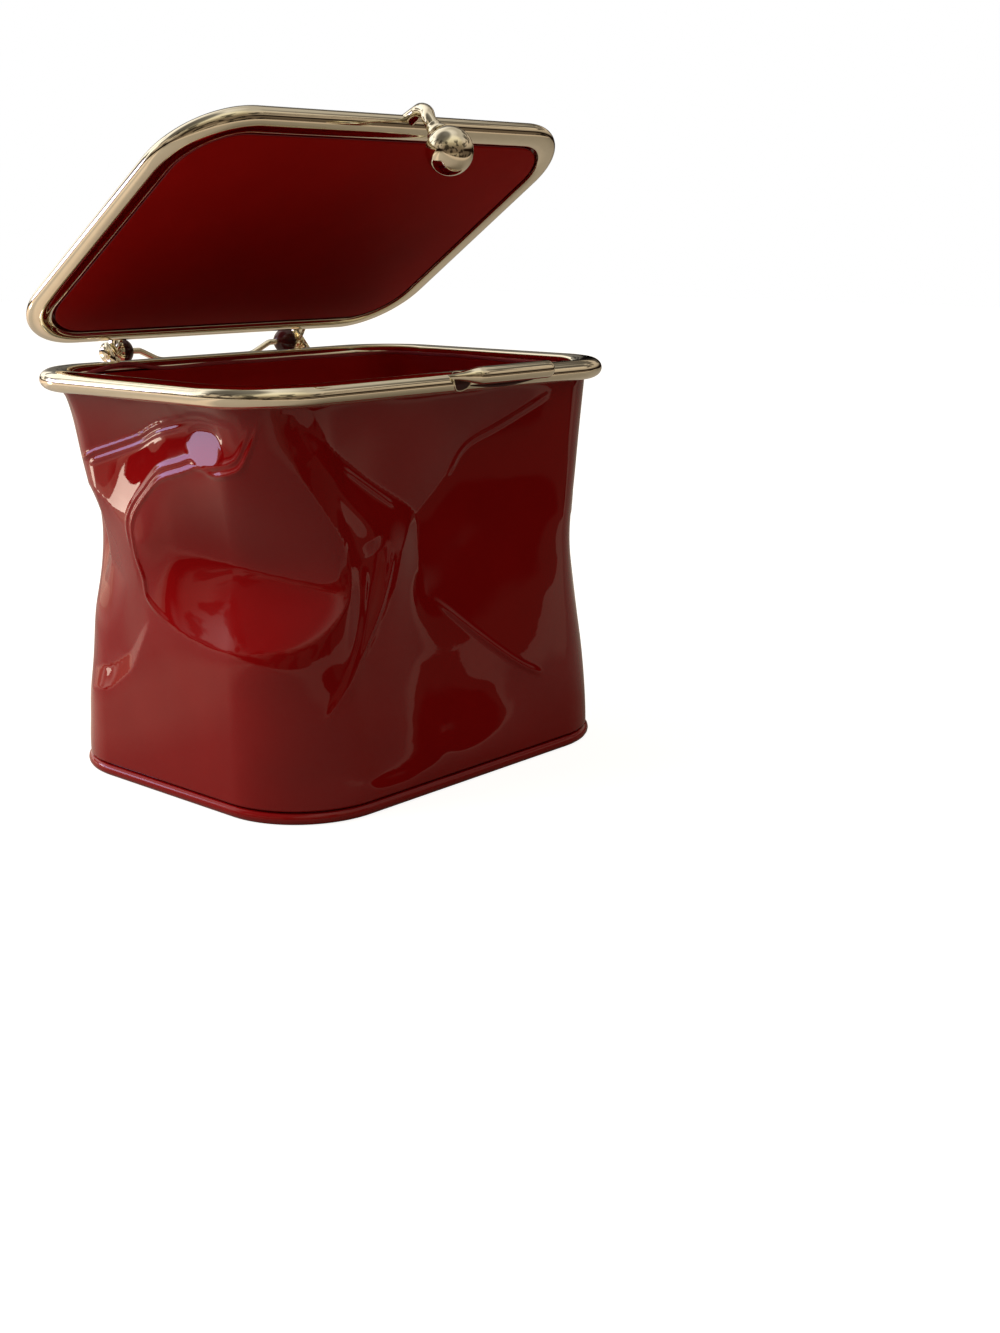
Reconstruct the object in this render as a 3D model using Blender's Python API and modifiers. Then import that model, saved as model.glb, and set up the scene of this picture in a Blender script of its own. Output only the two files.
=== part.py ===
"""A kiss-lock coin purse: a small crumpled box of patent leather under a hinged, framed lid.

Units are metres and +Z is up. The purse stands on its base, the clasp faces -Y and the hinge is behind, at +Y.
The lid's pieces are modelled shut, then turned open about the hinge line by the empty that carries them.
"""

import math

import bmesh
import bpy
from mathutils import Matrix, Vector

MM = 0.001

# Overall form
FRAME_WIDTH = 97 * MM
FRAME_DEPTH = 69 * MM
FRAME_CORNER = 15 * MM
RIM_HEIGHT = 75 * MM
BASE_WIDTH = 88 * MM
BASE_DEPTH = 69.6 * MM
BASE_CORNER = 17 * MM
BASE_FORWARD = 1.4 * MM
LID_OPEN_ANGLE = math.radians(34)

# Clearances
SEAT_GAP = 0.3 * MM
PIVOT_GAP = 0.2 * MM
SNAP_GAP = 0.15 * MM

# The folded metal channel of both frames
TUBE_WIDTH = 5.0 * MM
TUBE_HEIGHT = 3.9 * MM
TUBE_METAL = 0.5 * MM
LOWER_CHANNEL = (math.radians(15), math.radians(281))
LID_CHANNEL = (math.radians(50), math.radians(310))
FRAME_CORD_RADIUS = 1.0 * MM
LID_CORD_RADIUS = 0.7 * MM

# Leather, lining and card
LEATHER = 0.8 * MM
LINING = 0.4 * MM
LINING_FOOT_STANDOFF = 1.0 * MM
LINING_MOUTH_STANDOFF = 0.6 * MM
BASE_CARD = 1.5 * MM
LID_CARD = 1.1 * MM
LEATHER_INSET = 3.4 * MM
LEATHER_TUCK = 1.9 * MM
LINING_TUCK = 2.0 * MM
WELT_RADIUS = 1.1 * MM
WELT_PROUD = 0.5 * MM
LID_LEATHER = 0.6 * MM
LID_TURN_IN = 5.9 * MM
LID_FOLD_INSET = 3.0 * MM
LID_CROWN = 0.9 * MM
LID_LINING_INSET = 5.0 * MM
LID_LINING_CROWN = 0.4 * MM

# Clasp
BALL_RADIUS = 4.15 * MM
BALL_SIDE = -2.8 * MM
BALL_DROP = 7.4 * MM
CATCH_RADIUS = 1.6 * MM
CATCH_LEFT = -4.2 * MM
CATCH_RIGHT = 21.0 * MM
CATCH_RISE = 1.35 * MM
ARM_RADIUS = 1.2 * MM
ARM_FLARE = 0.2
CUP_RADIUS = 2.0 * MM
CUP_HEIGHT = 1.3 * MM
CUP_LEAN = math.radians(8)
CUP_REACH = math.radians(25)

# Hinge
HINGE_BEHIND = 4.2 * MM
HINGE_ABOVE = 1.07 * MM
HINGE_MIDDLE = 1.4 * MM
HINGE_DOME_SIDE = 21.5 * MM
DOME_RADIUS = 2.6 * MM
DOME_BACK = 1.4 * MM
PIN_RADIUS = 0.7 * MM
RIVET_HEAD_RADIUS = 1.3 * MM
RIVET_HEAD = 0.4 * MM
LUG_THICKNESS = 0.7 * MM
LUG_EYE_RADIUS = 1.6 * MM
WIRE_RADIUS = 0.6 * MM
WIRE_FLAT_SIDE = 11.4 * MM
WIRE_DROP = 2.2 * MM

# Mesh steps
CORNER_STEPS = 7
CHANNEL_STEPS = 10
WALL_ROWS = 13

# Derived places
TUBE_INSET = TUBE_WIDTH / 2
LOWER_TUBE_Z = RIM_HEIGHT - TUBE_HEIGHT / 2
LID_TUBE_Z = RIM_HEIGHT + SEAT_GAP + TUBE_HEIGHT / 2
HINGE = Vector((HINGE_MIDDLE, FRAME_DEPTH / 2 + HINGE_BEHIND, RIM_HEIGHT + HINGE_ABOVE))
WALL_BOTTOM = WELT_RADIUS * 2 + SEAT_GAP
WALL_TOP = RIM_HEIGHT - TUBE_HEIGHT + LEATHER_TUCK
LINING_FOOT_INSET = LEATHER + LINING_FOOT_STANDOFF
LINING_MOUTH_INSET = LEATHER + LINING_MOUTH_STANDOFF

# Where the leather has been pushed in, in millimetres: a point of the wall, how far the hollow reaches along the
# wall and up it, the way it is pushed in plan (degrees from +X), its depth, and its point (2 a bowl, 1 a cone).
HOLLOWS = (
    ((-44, -19, 45), 26, 26, 20, 7.0, 2.0),
    ((-11, -34, 43), 21, 28, 90, 3.6, 1.2),
    ((12, -34, 46), 34, 24, 90, 2.6, 1.4),
    ((-40, 28, 44), 26, 24, -49, 6.6, 1.2),
    ((-40, 28, 65), 22, 12, -49, 2.3, 2.0),
    ((42, -27, 40), 19, 22, 135, 3.4, 1.6),
    ((44, 6, 42), 26, 26, 180, 4.0, 1.8),
    ((8, 34, 40), 34, 27, -90, 4.4, 1.6),
    ((-12, -35, 17), 26, 14, 90, 1.6, 2.0),
)


# The catch's swoop out of the tube, in millimetres: along from its left end, in from the rod's line, and down.
CATCH_SWOOP = ((1.7, 4.6, 0.8), (2.3, 2.3, 0.8), (4.6, 0.4, 0.7), (8.0, 0.0, 0.6))

# The arm's middle line, in millimetres: across, out from the frame's front, and up from the lid's tube.
ARM_ROUTE = ((0.4, -1.6, 0.1), (0.3, 1.5, -0.3), (-0.4, 3.5, -0.9), (-1.4, 5.1, -2.5))


def remove_everything():
    for scene_object in list(bpy.data.objects):
        bpy.data.objects.remove(scene_object)


def make_collection(name):
    collection = bpy.data.collections.new(name)
    bpy.context.scene.collection.children.link(collection)
    return collection


def make_material(name, color, roughness, metallic):
    material = bpy.data.materials.new(name)
    material.use_nodes = True
    shader = material.node_tree.nodes["Principled BSDF"]
    shader.inputs["Base Color"].default_value = (*color, 1)
    shader.inputs["Roughness"].default_value = roughness
    shader.inputs["Metallic"].default_value = metallic
    return material


remove_everything()
PURSE = make_collection("kiss_lock_coin_purse")
GUIDES = make_collection("guides")

NICKEL = make_material("pale_nickel_plate", (0.78, 0.72, 0.60), 0.08, 1.0)
PATENT = make_material("red_patent_leather", (0.20, 0.008, 0.010), 0.08, 0.0)
SATIN = make_material("dark_red_satin", (0.10, 0.004, 0.006), 0.55, 0.0)
CARD = make_material("grey_card", (0.40, 0.37, 0.33), 0.85, 0.0)
PAPER = make_material("paper_cord", (0.62, 0.55, 0.44), 0.9, 0.0)


def finish(piece, material, sharp=math.radians(35)):
    """Gives a piece its own material and, on a mesh, smooth shading with crisp edges."""
    own = material.copy()
    own.name = piece.name + "_finish"
    piece.data.materials.append(own)
    if piece.type == "MESH":
        piece.data.shade_smooth()
        piece.data.set_sharp_from_angle(angle=sharp)
    return piece


def rounded_rectangle(width, depth, corner, steps=CORNER_STEPS, along=1, across=1):
    """Points of the outline, anticlockwise from above, with its straight sides split into equal runs."""
    centres = (
        (width / 2 - corner, depth / 2 - corner, 0),
        (-width / 2 + corner, depth / 2 - corner, 90),
        (-width / 2 + corner, -depth / 2 + corner, 180),
        (width / 2 - corner, -depth / 2 + corner, 270),
    )
    points = []
    for index, (x, y, start) in enumerate(centres):
        for step in range(steps + 1):
            angle = math.radians(start + 90 * step / steps)
            points.append(Vector((x + corner * math.cos(angle), y + corner * math.sin(angle))))
        next_x, next_y, next_start = centres[(index + 1) % 4]
        turn = math.radians(next_start)
        end = Vector((next_x + corner * math.cos(turn), next_y + corner * math.sin(turn)))
        runs = along if index % 2 == 0 else across
        points += [points[-1].lerp(end, run / runs) for run in range(1, runs)]
    return points


def frame_outline(inset, **steps):
    corner = max(FRAME_CORNER - inset, 1.5 * MM)
    return rounded_rectangle(FRAME_WIDTH - 2 * inset, FRAME_DEPTH - 2 * inset, corner, **steps)


def base_outline(inset, **steps):
    """The bottom's outline, which the soft walls let stand a little further forward than the frame."""
    outline = rounded_rectangle(BASE_WIDTH - 2 * inset, BASE_DEPTH - 2 * inset, BASE_CORNER - inset, **steps)
    return [point - Vector((0, BASE_FORWARD)) for point in outline]


def make_curve(name, points, collection, closed=False, dimensions="3D", widths=None):
    curve = bpy.data.curves.new(name, "CURVE")
    curve.dimensions = dimensions
    spline = curve.splines.new("POLY")
    spline.points.add(len(points) - 1)
    for index, point in enumerate(points):
        spline.points[index].co = (*point, 1) if len(point) == 3 else (*point, 0, 1)
        spline.points[index].radius = widths[index] if widths else 1
    spline.use_cyclic_u = closed
    spline.use_smooth = True
    piece = bpy.data.objects.new(name, curve)
    collection.objects.link(piece)
    return piece


def make_rod(name, points, radius, material, closed=False, widths=None, sides=2):
    """A round wire or cord through the points, its caps closed."""
    rod = make_curve(name, points, PURSE, closed=closed, widths=widths)
    rod.data.bevel_depth = radius
    rod.data.bevel_resolution = sides
    rod.data.use_fill_caps = not closed
    return finish(rod, material)


def as_guide(piece):
    piece.hide_render = True
    piece.display_type = "WIRE"
    return piece


def sweep_round_mouth(name, section, height, collection):
    """Carries a closed section, drawn with +X outward and +Y up, round the middle of the frame's tube."""
    profile = as_guide(make_curve(name + "_section", section, GUIDES, closed=True, dimensions="2D"))
    ring = make_curve(name, [(*point, 0) for point in frame_outline(TUBE_INSET)], collection, closed=True)
    ring.data.bevel_mode = "OBJECT"
    ring.data.bevel_object = profile
    ring.location.z = height
    return ring


def make_channel(name, angles, height, material):
    """The frame's folded channel: a thin oval section, open between two angles, swept round the mouth."""
    first, last = angles
    section = []
    for metal in (0, TUBE_METAL):
        half_width = TUBE_WIDTH / 2 - metal
        half_height = TUBE_HEIGHT / 2 - metal
        turns = [first + (last - first) * step / CHANNEL_STEPS for step in range(CHANNEL_STEPS + 1)]
        arc = [(-half_width * math.cos(turn), half_height * math.sin(turn)) for turn in turns]
        section += arc if metal == 0 else arc[::-1]
    return finish(sweep_round_mouth(name, section, height, PURSE), material)


def make_plate(name, outline, bottom, thickness, material):
    """A flat sheet cut to an outline."""
    plate = make_curve(name, outline, PURSE, closed=True, dimensions="2D")
    plate.data.fill_mode = "BOTH"
    plate.data.extrude = thickness / 2
    plate.location.z = bottom + thickness / 2
    return finish(plate, material)


def make_loft(name, rings, material, cap=False):
    """A skin through closed rings of equal counts. With a cap, the last ring is closed by one face."""
    shape = bmesh.new()
    rows = [[shape.verts.new(point) for point in ring] for ring in rings]
    count = len(rings[0])
    for low, high in zip(rows, rows[1:]):
        for index in range(count):
            after = (index + 1) % count
            shape.faces.new((low[index], low[after], high[after], high[index]))
    if cap:
        shape.faces.new(rows[-1])
    mesh = bpy.data.meshes.new(name)
    shape.to_mesh(mesh)
    shape.free()
    piece = bpy.data.objects.new(name, mesh)
    PURSE.objects.link(piece)
    return finish(piece, material)


def thicken(piece, thickness, offset):
    shell = piece.modifiers.new("thickness", "SOLIDIFY")
    shell.thickness = thickness
    shell.offset = offset
    return piece


def make_turned(name, profile, material, steps=20):
    """A piece turned about Z from a profile of (radius, height) points, run from top to bottom."""
    shape = bmesh.new()
    points = [shape.verts.new((radius, 0, height)) for radius, height in profile]
    for start, end in zip(points, points[1:]):
        shape.edges.new((start, end))
    mesh = bpy.data.meshes.new(name)
    shape.to_mesh(mesh)
    shape.free()
    piece = bpy.data.objects.new(name, mesh)
    PURSE.objects.link(piece)
    screw = piece.modifiers.new("turn", "SCREW")
    screw.axis = "Z"
    screw.steps = steps
    screw.render_steps = steps
    screw.use_merge_vertices = True
    screw.merge_threshold = 0.00001
    screw.use_smooth_shade = True
    return finish(piece, material)


def smooth_ramp(value):
    value = min(max(value, 0), 1)
    return value * value * (3 - 2 * value)


def pushed_in(x, y, z):
    """How far, and which way in plan, the crumples move this point of the wall."""
    push = Vector((0, 0))
    for centre, reach, rise, way, depth, point in HOLLOWS:
        sideways = math.hypot(x / MM - centre[0], y / MM - centre[1]) / reach
        upwards = (z / MM - centre[2]) / rise
        distance = math.hypot(sideways, upwards)
        if distance < 1:
            strength = (1 - distance**point) ** 2 if point > 1.7 else (1 - distance) ** point
            turn = math.radians(way)
            push += depth * MM * strength * Vector((math.cos(turn), math.sin(turn)))
    held = smooth_ramp((z - WALL_BOTTOM) / (9 * MM)) * smooth_ramp((WALL_TOP - LEATHER_TUCK - z) / (4 * MM))
    return push * held


def wall_rings(foot_inset, mouth_inset, top):
    """Rings of the crumpled wall, each set in from the leather's outer face, more below than above."""
    steps = {"steps": 6, "along": 10, "across": 7}
    rings = []
    for row in range(WALL_ROWS):
        z = WALL_BOTTOM + (top - WALL_BOTTOM) * row / (WALL_ROWS - 1)
        share = (z - WALL_BOTTOM) / (WALL_TOP - WALL_BOTTOM)
        skin_foot = base_outline(0, **steps)
        skin_mouth = frame_outline(LEATHER_INSET, **steps)
        own_foot = base_outline(foot_inset, **steps)
        own_mouth = frame_outline(LEATHER_INSET + mouth_inset, **steps)
        ring = []
        for low_skin, high_skin, low, high in zip(skin_foot, skin_mouth, own_foot, own_mouth):
            moved = low.lerp(high, share) + pushed_in(*low_skin.lerp(high_skin, share), z)
            ring.append((*moved, z))
        rings.append(ring)
    return rings


def make_body():
    """The soft box: leather strip, lining, and a stiffened bottom with a welted edge."""
    wall = make_loft("body_wall", wall_rings(0, 0, WALL_TOP), PATENT)
    thicken(wall, LEATHER, -1)
    lining_top = RIM_HEIGHT - TUBE_HEIGHT + LINING_TUCK
    lining = make_loft("body_lining", wall_rings(LINING_FOOT_INSET, LINING_MOUTH_INSET, lining_top), SATIN)
    thicken(lining, LINING, -1)

    welt_path = [(*point, WELT_RADIUS) for point in base_outline(WELT_RADIUS - WELT_PROUD)]
    make_rod("base_welt", welt_path, WELT_RADIUS, PATENT, closed=True)
    panel_inset = 2 * WELT_RADIUS - WELT_PROUD + SEAT_GAP
    make_plate("base_panel", base_outline(panel_inset), 0, LEATHER, PATENT)
    inner = LINING_FOOT_INSET + LINING + SEAT_GAP + 0.1 * MM
    card_bottom = LEATHER + SEAT_GAP
    make_plate("base_board", base_outline(inner), card_bottom, BASE_CARD, CARD)
    make_plate("base_lining", base_outline(inner), card_bottom + BASE_CARD + SEAT_GAP, LINING, SATIN)


def make_frame_cords(lid_pieces):
    inset = LEATHER_INSET - SEAT_GAP - FRAME_CORD_RADIUS
    path = [(*point, LOWER_TUBE_Z) for point in frame_outline(inset)]
    make_rod("frame_cord", path, FRAME_CORD_RADIUS, PAPER, closed=True, sides=1)
    inset = LID_FOLD_INSET - SEAT_GAP - LID_CORD_RADIUS
    path = [(*point, LID_TUBE_Z) for point in frame_outline(inset)]
    lid_pieces.append(make_rod("lid_cord", path, LID_CORD_RADIUS, PAPER, closed=True, sides=1))


def lid_rings(places, **steps):
    """Rings at (inset from the frame's outer edge, height above the middle of the lid's channel)."""
    rings = []
    for inset, height in places:
        rings.append([(*point, LID_TUBE_Z + height) for point in frame_outline(inset, **steps)])
    return rings


def make_lid_panel(lid_pieces):
    """The lid's filling: patent leather turned in round a card, and a satin underside."""
    half = LID_LEATHER / 2
    turned_in = -half
    card_bottom = LID_LEATHER / 2 + SEAT_GAP
    card_inset = LID_TURN_IN + SEAT_GAP
    over_card = card_bottom + LID_CARD + SEAT_GAP + half
    fold_gap = SEAT_GAP + half
    cover_places = (
        (LID_TURN_IN, turned_in),
        (LID_FOLD_INSET + 2 * half, turned_in),
        (LID_FOLD_INSET + half, fold_gap / 2),
        (LID_FOLD_INSET + 2 * half, fold_gap + half / 2),
        (LID_FOLD_INSET + 4 * half, fold_gap + half),
        (card_inset - half, over_card - half),
        (card_inset + 4 * half, over_card + LID_CROWN / 3),
        (FRAME_CORNER, over_card + 2 * LID_CROWN / 3),
        (FRAME_DEPTH / 2 - 6 * MM, over_card + LID_CROWN),
    )
    cover = make_loft("lid_cover", lid_rings(cover_places, steps=5), PATENT, cap=True)
    lid_pieces.append(thicken(cover, LID_LEATHER, 0))
    card = make_plate("lid_board", frame_outline(card_inset), LID_TUBE_Z + card_bottom, LID_CARD, CARD)
    lid_pieces.append(card)
    lining_top = turned_in - half - SEAT_GAP
    lining_middle = lining_top - LINING / 2
    lining_places = (
        (LID_LINING_INSET, lining_middle),
        (LID_LINING_INSET + 4 * MM, lining_middle - LID_LINING_CROWN / 2),
        (FRAME_DEPTH / 2 - 8 * MM, lining_middle - LID_LINING_CROWN),
    )
    lining = make_loft("lid_lining", lid_rings(lining_places, steps=5), SATIN, cap=True)
    lid_pieces.append(thicken(lining, LINING, 0))


def catch_centre():
    """Middle of the catch rod's section: just clear of the tube, above its middle and in front of it."""
    for step in range(200):
        out = TUBE_WIDTH / 2 + step * 0.02 * MM
        nearest = min(
            math.hypot(out - TUBE_WIDTH / 2 * math.cos(turn), CATCH_RISE - TUBE_HEIGHT / 2 * math.sin(turn))
            for turn in (math.radians(degree) for degree in range(0, 91, 3))
        )
        if nearest >= CATCH_RADIUS + SEAT_GAP:
            break
    return Vector((-FRAME_DEPTH / 2 + TUBE_INSET - out, LOWER_TUBE_Z + CATCH_RISE))


def as_mesh(piece, collection):
    """A mesh object in place of a curve, its caps welded to its sides."""
    bpy.context.view_layer.update()
    graph = bpy.context.evaluated_depsgraph_get()
    mesh = bpy.data.meshes.new_from_object(piece.evaluated_get(graph))
    shape = bmesh.new()
    shape.from_mesh(mesh)
    bmesh.ops.remove_doubles(shape, verts=shape.verts, dist=0.00001)
    shape.to_mesh(mesh)
    shape.free()
    name = piece.name
    place = piece.matrix_world.copy()
    bpy.data.objects.remove(piece)
    made = bpy.data.objects.new(name, mesh)
    made.matrix_world = place
    collection.objects.link(made)
    return made


def make_seat_cutter(name, height):
    """A solid round of the tube's outer shape plus the clearance, to trim what is brazed onto the tube."""
    half_width = TUBE_WIDTH / 2 + SEAT_GAP
    half_height = TUBE_HEIGHT / 2 + SEAT_GAP
    turns = [math.radians(-15 * step) for step in range(24)]
    section = [(half_width * math.cos(turn), half_height * math.sin(turn)) for turn in turns]
    return as_guide(as_mesh(sweep_round_mouth(name, section, height, GUIDES), GUIDES))


def trim(piece, cutter):
    """Saddles the end of a rod against the tube that carries it."""
    whole = as_mesh(piece, PURSE)
    cut = whole.modifiers.new("saddle", "BOOLEAN")
    cut.operation = "DIFFERENCE"
    cut.object = cutter
    return whole


def smooth_route(points, steps):
    """Points along a smooth curve (Catmull-Rom) through a few chosen ones."""
    ends = [2 * points[0] - points[1]] + points + [2 * points[-1] - points[-2]]
    route = []
    for before, start, end, after in zip(ends, ends[1:], ends[2:], ends[3:]):
        for step in range(steps):
            t = step / steps
            route.append(
                0.5
                * (
                    2 * start
                    + (end - before) * t
                    + (2 * before - 5 * start + 4 * end - after) * t**2
                    + (3 * start - before - 3 * end + after) * t**3
                )
            )
    return route + [points[-1]]


def make_catch():
    """The rod the ball snaps over: it swoops out of the tube, runs along it and ends in a round nose."""
    y, z = catch_centre()
    swoop = []
    for along, inward, down in CATCH_SWOOP:
        swoop.append(Vector((CATCH_LEFT + along * MM, y + inward * MM, z - down * MM)))
    swoop.append(Vector((CATCH_RIGHT - CATCH_RADIUS, y, z)))
    points = smooth_route(swoop, 4)
    widths = [1] * len(points)
    for step in range(1, 6):
        turn = math.radians(84 * step / 5)
        points.append(Vector((CATCH_RIGHT - CATCH_RADIUS * (1 - math.sin(turn)), y, z)))
        widths.append(math.cos(turn))
    bar = make_rod("catch_bar", points, CATCH_RADIUS, NICKEL, widths=widths, sides=3)
    trim(bar, make_seat_cutter("lower_tube_seat", LOWER_TUBE_Z))


def ball_centre():
    """The ball's place with the lid shut: just far enough out to pass the catch as the lid closes."""
    y, z = catch_centre()
    drop = LOWER_TUBE_Z - BALL_DROP - HINGE.z
    reach = HINGE.y - y + BALL_RADIUS + CATCH_RADIUS + SNAP_GAP
    passing = z - HINGE.z
    return Vector((BALL_SIDE, HINGE.y - math.sqrt(reach**2 + passing**2 - drop**2), HINGE.z + drop))


def make_clasp(lid_pieces):
    """The hooked arm that carries the ball out over the catch, with a cup where they meet."""
    ball = ball_centre()
    cup_seat = BALL_RADIUS + SEAT_GAP
    cup_top = cup_seat + CUP_HEIGHT
    lean = Vector((0, math.sin(CUP_LEAN), math.cos(CUP_LEAN)))
    hook = []
    for across, out, up in ARM_ROUTE:
        hook.append(Vector((across * MM, -FRAME_DEPTH / 2 - out * MM, LID_TUBE_Z + up * MM)))
    hook += [ball + lean * (cup_top + SEAT_GAP + ARM_RADIUS), ball + lean * (cup_top + SEAT_GAP)]
    points = smooth_route(hook, 3)
    widths = [1 + ARM_FLARE * max(0, 1 - index / 5) ** 2 for index in range(len(points))]
    cutter = make_seat_cutter("lid_tube_seat", LID_TUBE_Z)
    arm = trim(make_rod("clasp_arm", points, ARM_RADIUS, NICKEL, widths=widths, sides=3), cutter)

    bpy.ops.mesh.primitive_uv_sphere_add(segments=24, ring_count=14, radius=BALL_RADIUS, location=ball)
    knob = bpy.context.object
    knob.name = "clasp_ball"
    for collection in list(knob.users_collection):
        collection.objects.unlink(knob)
    PURSE.objects.link(knob)
    finish(knob, NICKEL)

    dish = [(cup_seat * math.sin(turn), cup_seat * math.cos(turn)) for turn in (CUP_REACH, CUP_REACH / 2, 0)]
    profile = [(0, cup_top), (CUP_RADIUS * 0.6, cup_top), (CUP_RADIUS, dish[0][1])] + dish
    cup = make_turned("ball_cup", profile, NICKEL, steps=16)
    cup.rotation_euler.x = -CUP_LEAN
    cup.location = ball
    lid_pieces += [arm, knob, cup, cutter]


def lug_outline(tube_height, foot_first, foot_last, eye_steps=10):
    """A hinge plate in the YZ plane: a foot that hugs the tube's back, running out to a round eye."""
    tube_y = FRAME_DEPTH / 2 - TUBE_INSET
    half_width = TUBE_WIDTH / 2 + SEAT_GAP
    half_height = TUBE_HEIGHT / 2 + SEAT_GAP
    foot = []
    for step in range(7):
        turn = math.radians(foot_first + (foot_last - foot_first) * step / 6)
        foot.append((tube_y + half_width * math.cos(turn), tube_height + half_height * math.sin(turn)))
    middle = tube_height + half_height * math.sin(math.radians((foot_first + foot_last) / 2))
    lean = math.atan2(HINGE.z - middle, HINGE_BEHIND)
    eye = []
    for step in range(eye_steps + 1):
        turn = lean + math.radians(100 - 200 * step / eye_steps)
        eye.append((HINGE.y + LUG_EYE_RADIUS * math.cos(turn), HINGE.z + LUG_EYE_RADIUS * math.sin(turn)))
    return foot + eye


def make_lug(name, outline, side):
    """A plate across X, with the pivot hole through its eye."""
    plate = make_curve(name, outline, PURSE, closed=True, dimensions="2D")
    hole = plate.data.splines.new("POLY")
    hole.points.add(11)
    for step in range(12):
        turn = math.radians(30 * step)
        bore = PIN_RADIUS + PIVOT_GAP
        hole.points[step].co = (HINGE.y + bore * math.cos(turn), HINGE.z + bore * math.sin(turn), 0, 1)
    hole.use_cyclic_u = True
    plate.data.fill_mode = "BOTH"
    plate.data.extrude = LUG_THICKNESS / 2
    plate.matrix_world = Matrix(((0, 0, 1, side), (1, 0, 0, 0), (0, 1, 0, 0), (0, 0, 0, 1)))
    return finish(plate, NICKEL)


def make_hinge(lid_pieces):
    """Two pairs of brazed plates on domed rivets, and the wire bent between the rivets."""
    dome_back = HINGE_DOME_SIDE + DOME_BACK
    lid_lug = dome_back + SEAT_GAP + LUG_THICKNESS / 2
    lower_lug = lid_lug + LUG_THICKNESS + SEAT_GAP
    head = lower_lug + LUG_THICKNESS / 2 + SEAT_GAP
    for side, hand in ((-1, "left"), (1, "right")):
        outline = lug_outline(LOWER_TUBE_Z, -40, 30)
        make_lug("lower_hinge_lug_" + hand, outline, HINGE.x + side * lower_lug)
        outline = lug_outline(LID_TUBE_Z, -35, 35)
        lid_pieces.append(make_lug("lid_hinge_lug_" + hand, outline, HINGE.x + side * lid_lug))

        dome = []
        last_turn = math.pi - math.acos(DOME_BACK / DOME_RADIUS)
        for step in range(9):
            turn = last_turn * step / 8
            dome.append((DOME_RADIUS * math.sin(turn), -HINGE_DOME_SIDE + DOME_RADIUS * math.cos(turn)))
        stem = [(PIN_RADIUS, -dome_back), (PIN_RADIUS, -head)]
        button = [
            (RIVET_HEAD_RADIUS, -head),
            (RIVET_HEAD_RADIUS * 0.8, -head - RIVET_HEAD),
            (0, -head - RIVET_HEAD),
        ]
        rivet = make_turned("hinge_rivet_" + hand, dome + stem + button, NICKEL, steps=18)
        rivet.rotation_euler = (0, math.radians(-90 * side), 0)
        rivet.location = HINGE
    make_spring_wire()


def make_spring_wire():
    """A wire from one rivet to the other that dips behind the rear rim."""
    start = HINGE_DOME_SIDE - DOME_RADIUS - SEAT_GAP
    slope_top = start - 1.2 * MM
    bend = 2.0 * MM
    half = [
        (start, 0),
        (slope_top, -0.02),
        (slope_top - 0.5 * bend, -0.1),
        (WIRE_FLAT_SIDE + 0.7 * bend, -0.82),
        (WIRE_FLAT_SIDE, -0.97),
        (WIRE_FLAT_SIDE - 0.7 * bend, -1),
    ]
    right = [HINGE + Vector((x, 0, dip * WIRE_DROP)) for x, dip in half]
    left = [HINGE + Vector((-x, 0, dip * WIRE_DROP)) for x, dip in half[::-1]]
    make_rod("lid_spring_wire", right + left, WIRE_RADIUS, NICKEL)


def make_lid(lid_pieces):
    """Hangs every piece of the lid on the hinge line and turns it open."""
    hinge = bpy.data.objects.new("lid_hinge", None)
    PURSE.objects.link(hinge)
    hinge.location = HINGE
    bpy.context.view_layer.update()
    for piece in lid_pieces:
        piece.parent = hinge
        piece.matrix_parent_inverse = Matrix.Translation(-HINGE)
    hinge.rotation_euler.x = -LID_OPEN_ANGLE


def main():
    lid_pieces = []
    make_channel("lower_frame", LOWER_CHANNEL, LOWER_TUBE_Z, NICKEL)
    lid_pieces.append(make_channel("lid_frame", LID_CHANNEL, LID_TUBE_Z, NICKEL))
    make_frame_cords(lid_pieces)
    make_body()
    make_lid_panel(lid_pieces)
    make_catch()
    make_clasp(lid_pieces)
    make_hinge(lid_pieces)
    make_lid(lid_pieces)


main()
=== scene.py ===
# %% [markdown]
# # A kiss-lock coin purse in crumpled patent leather
# The purse is a small soft box of lacquered leather in a nickel-plated frame, with a framed lid that stands
# open. The CAD model gives every place and size. This lesson loads it first, then dresses it piece by piece:
# the metal, the crumpled wall, the linings and the lid. Each piece is built where its CAD solid is, and rides
# on its body.

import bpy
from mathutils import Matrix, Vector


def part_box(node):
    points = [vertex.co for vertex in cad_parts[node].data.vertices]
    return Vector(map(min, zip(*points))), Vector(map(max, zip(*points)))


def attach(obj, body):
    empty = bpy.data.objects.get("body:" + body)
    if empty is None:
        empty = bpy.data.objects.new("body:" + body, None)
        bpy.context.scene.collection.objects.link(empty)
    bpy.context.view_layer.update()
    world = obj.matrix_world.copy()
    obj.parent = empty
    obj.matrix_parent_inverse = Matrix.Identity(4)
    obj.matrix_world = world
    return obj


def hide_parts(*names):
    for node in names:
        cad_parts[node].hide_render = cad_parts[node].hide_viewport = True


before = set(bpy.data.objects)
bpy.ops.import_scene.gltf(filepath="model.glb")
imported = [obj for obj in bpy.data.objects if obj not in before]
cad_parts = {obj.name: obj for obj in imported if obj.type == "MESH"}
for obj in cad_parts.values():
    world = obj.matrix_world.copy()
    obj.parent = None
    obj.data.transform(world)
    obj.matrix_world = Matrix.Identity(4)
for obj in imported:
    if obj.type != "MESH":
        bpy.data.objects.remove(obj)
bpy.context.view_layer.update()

# %% [markdown]
# ## Measures
# Blender works in metres here, and purse makers think in millimetres, so sizes are written as 97 * MM. The
# sizes of the CAD model are repeated, because the pieces below follow its outlines more finely than its
# solids do.

# %% Sizes of the purse
import math

import bpy
import numpy as np
from mathutils import Matrix, Vector

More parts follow.
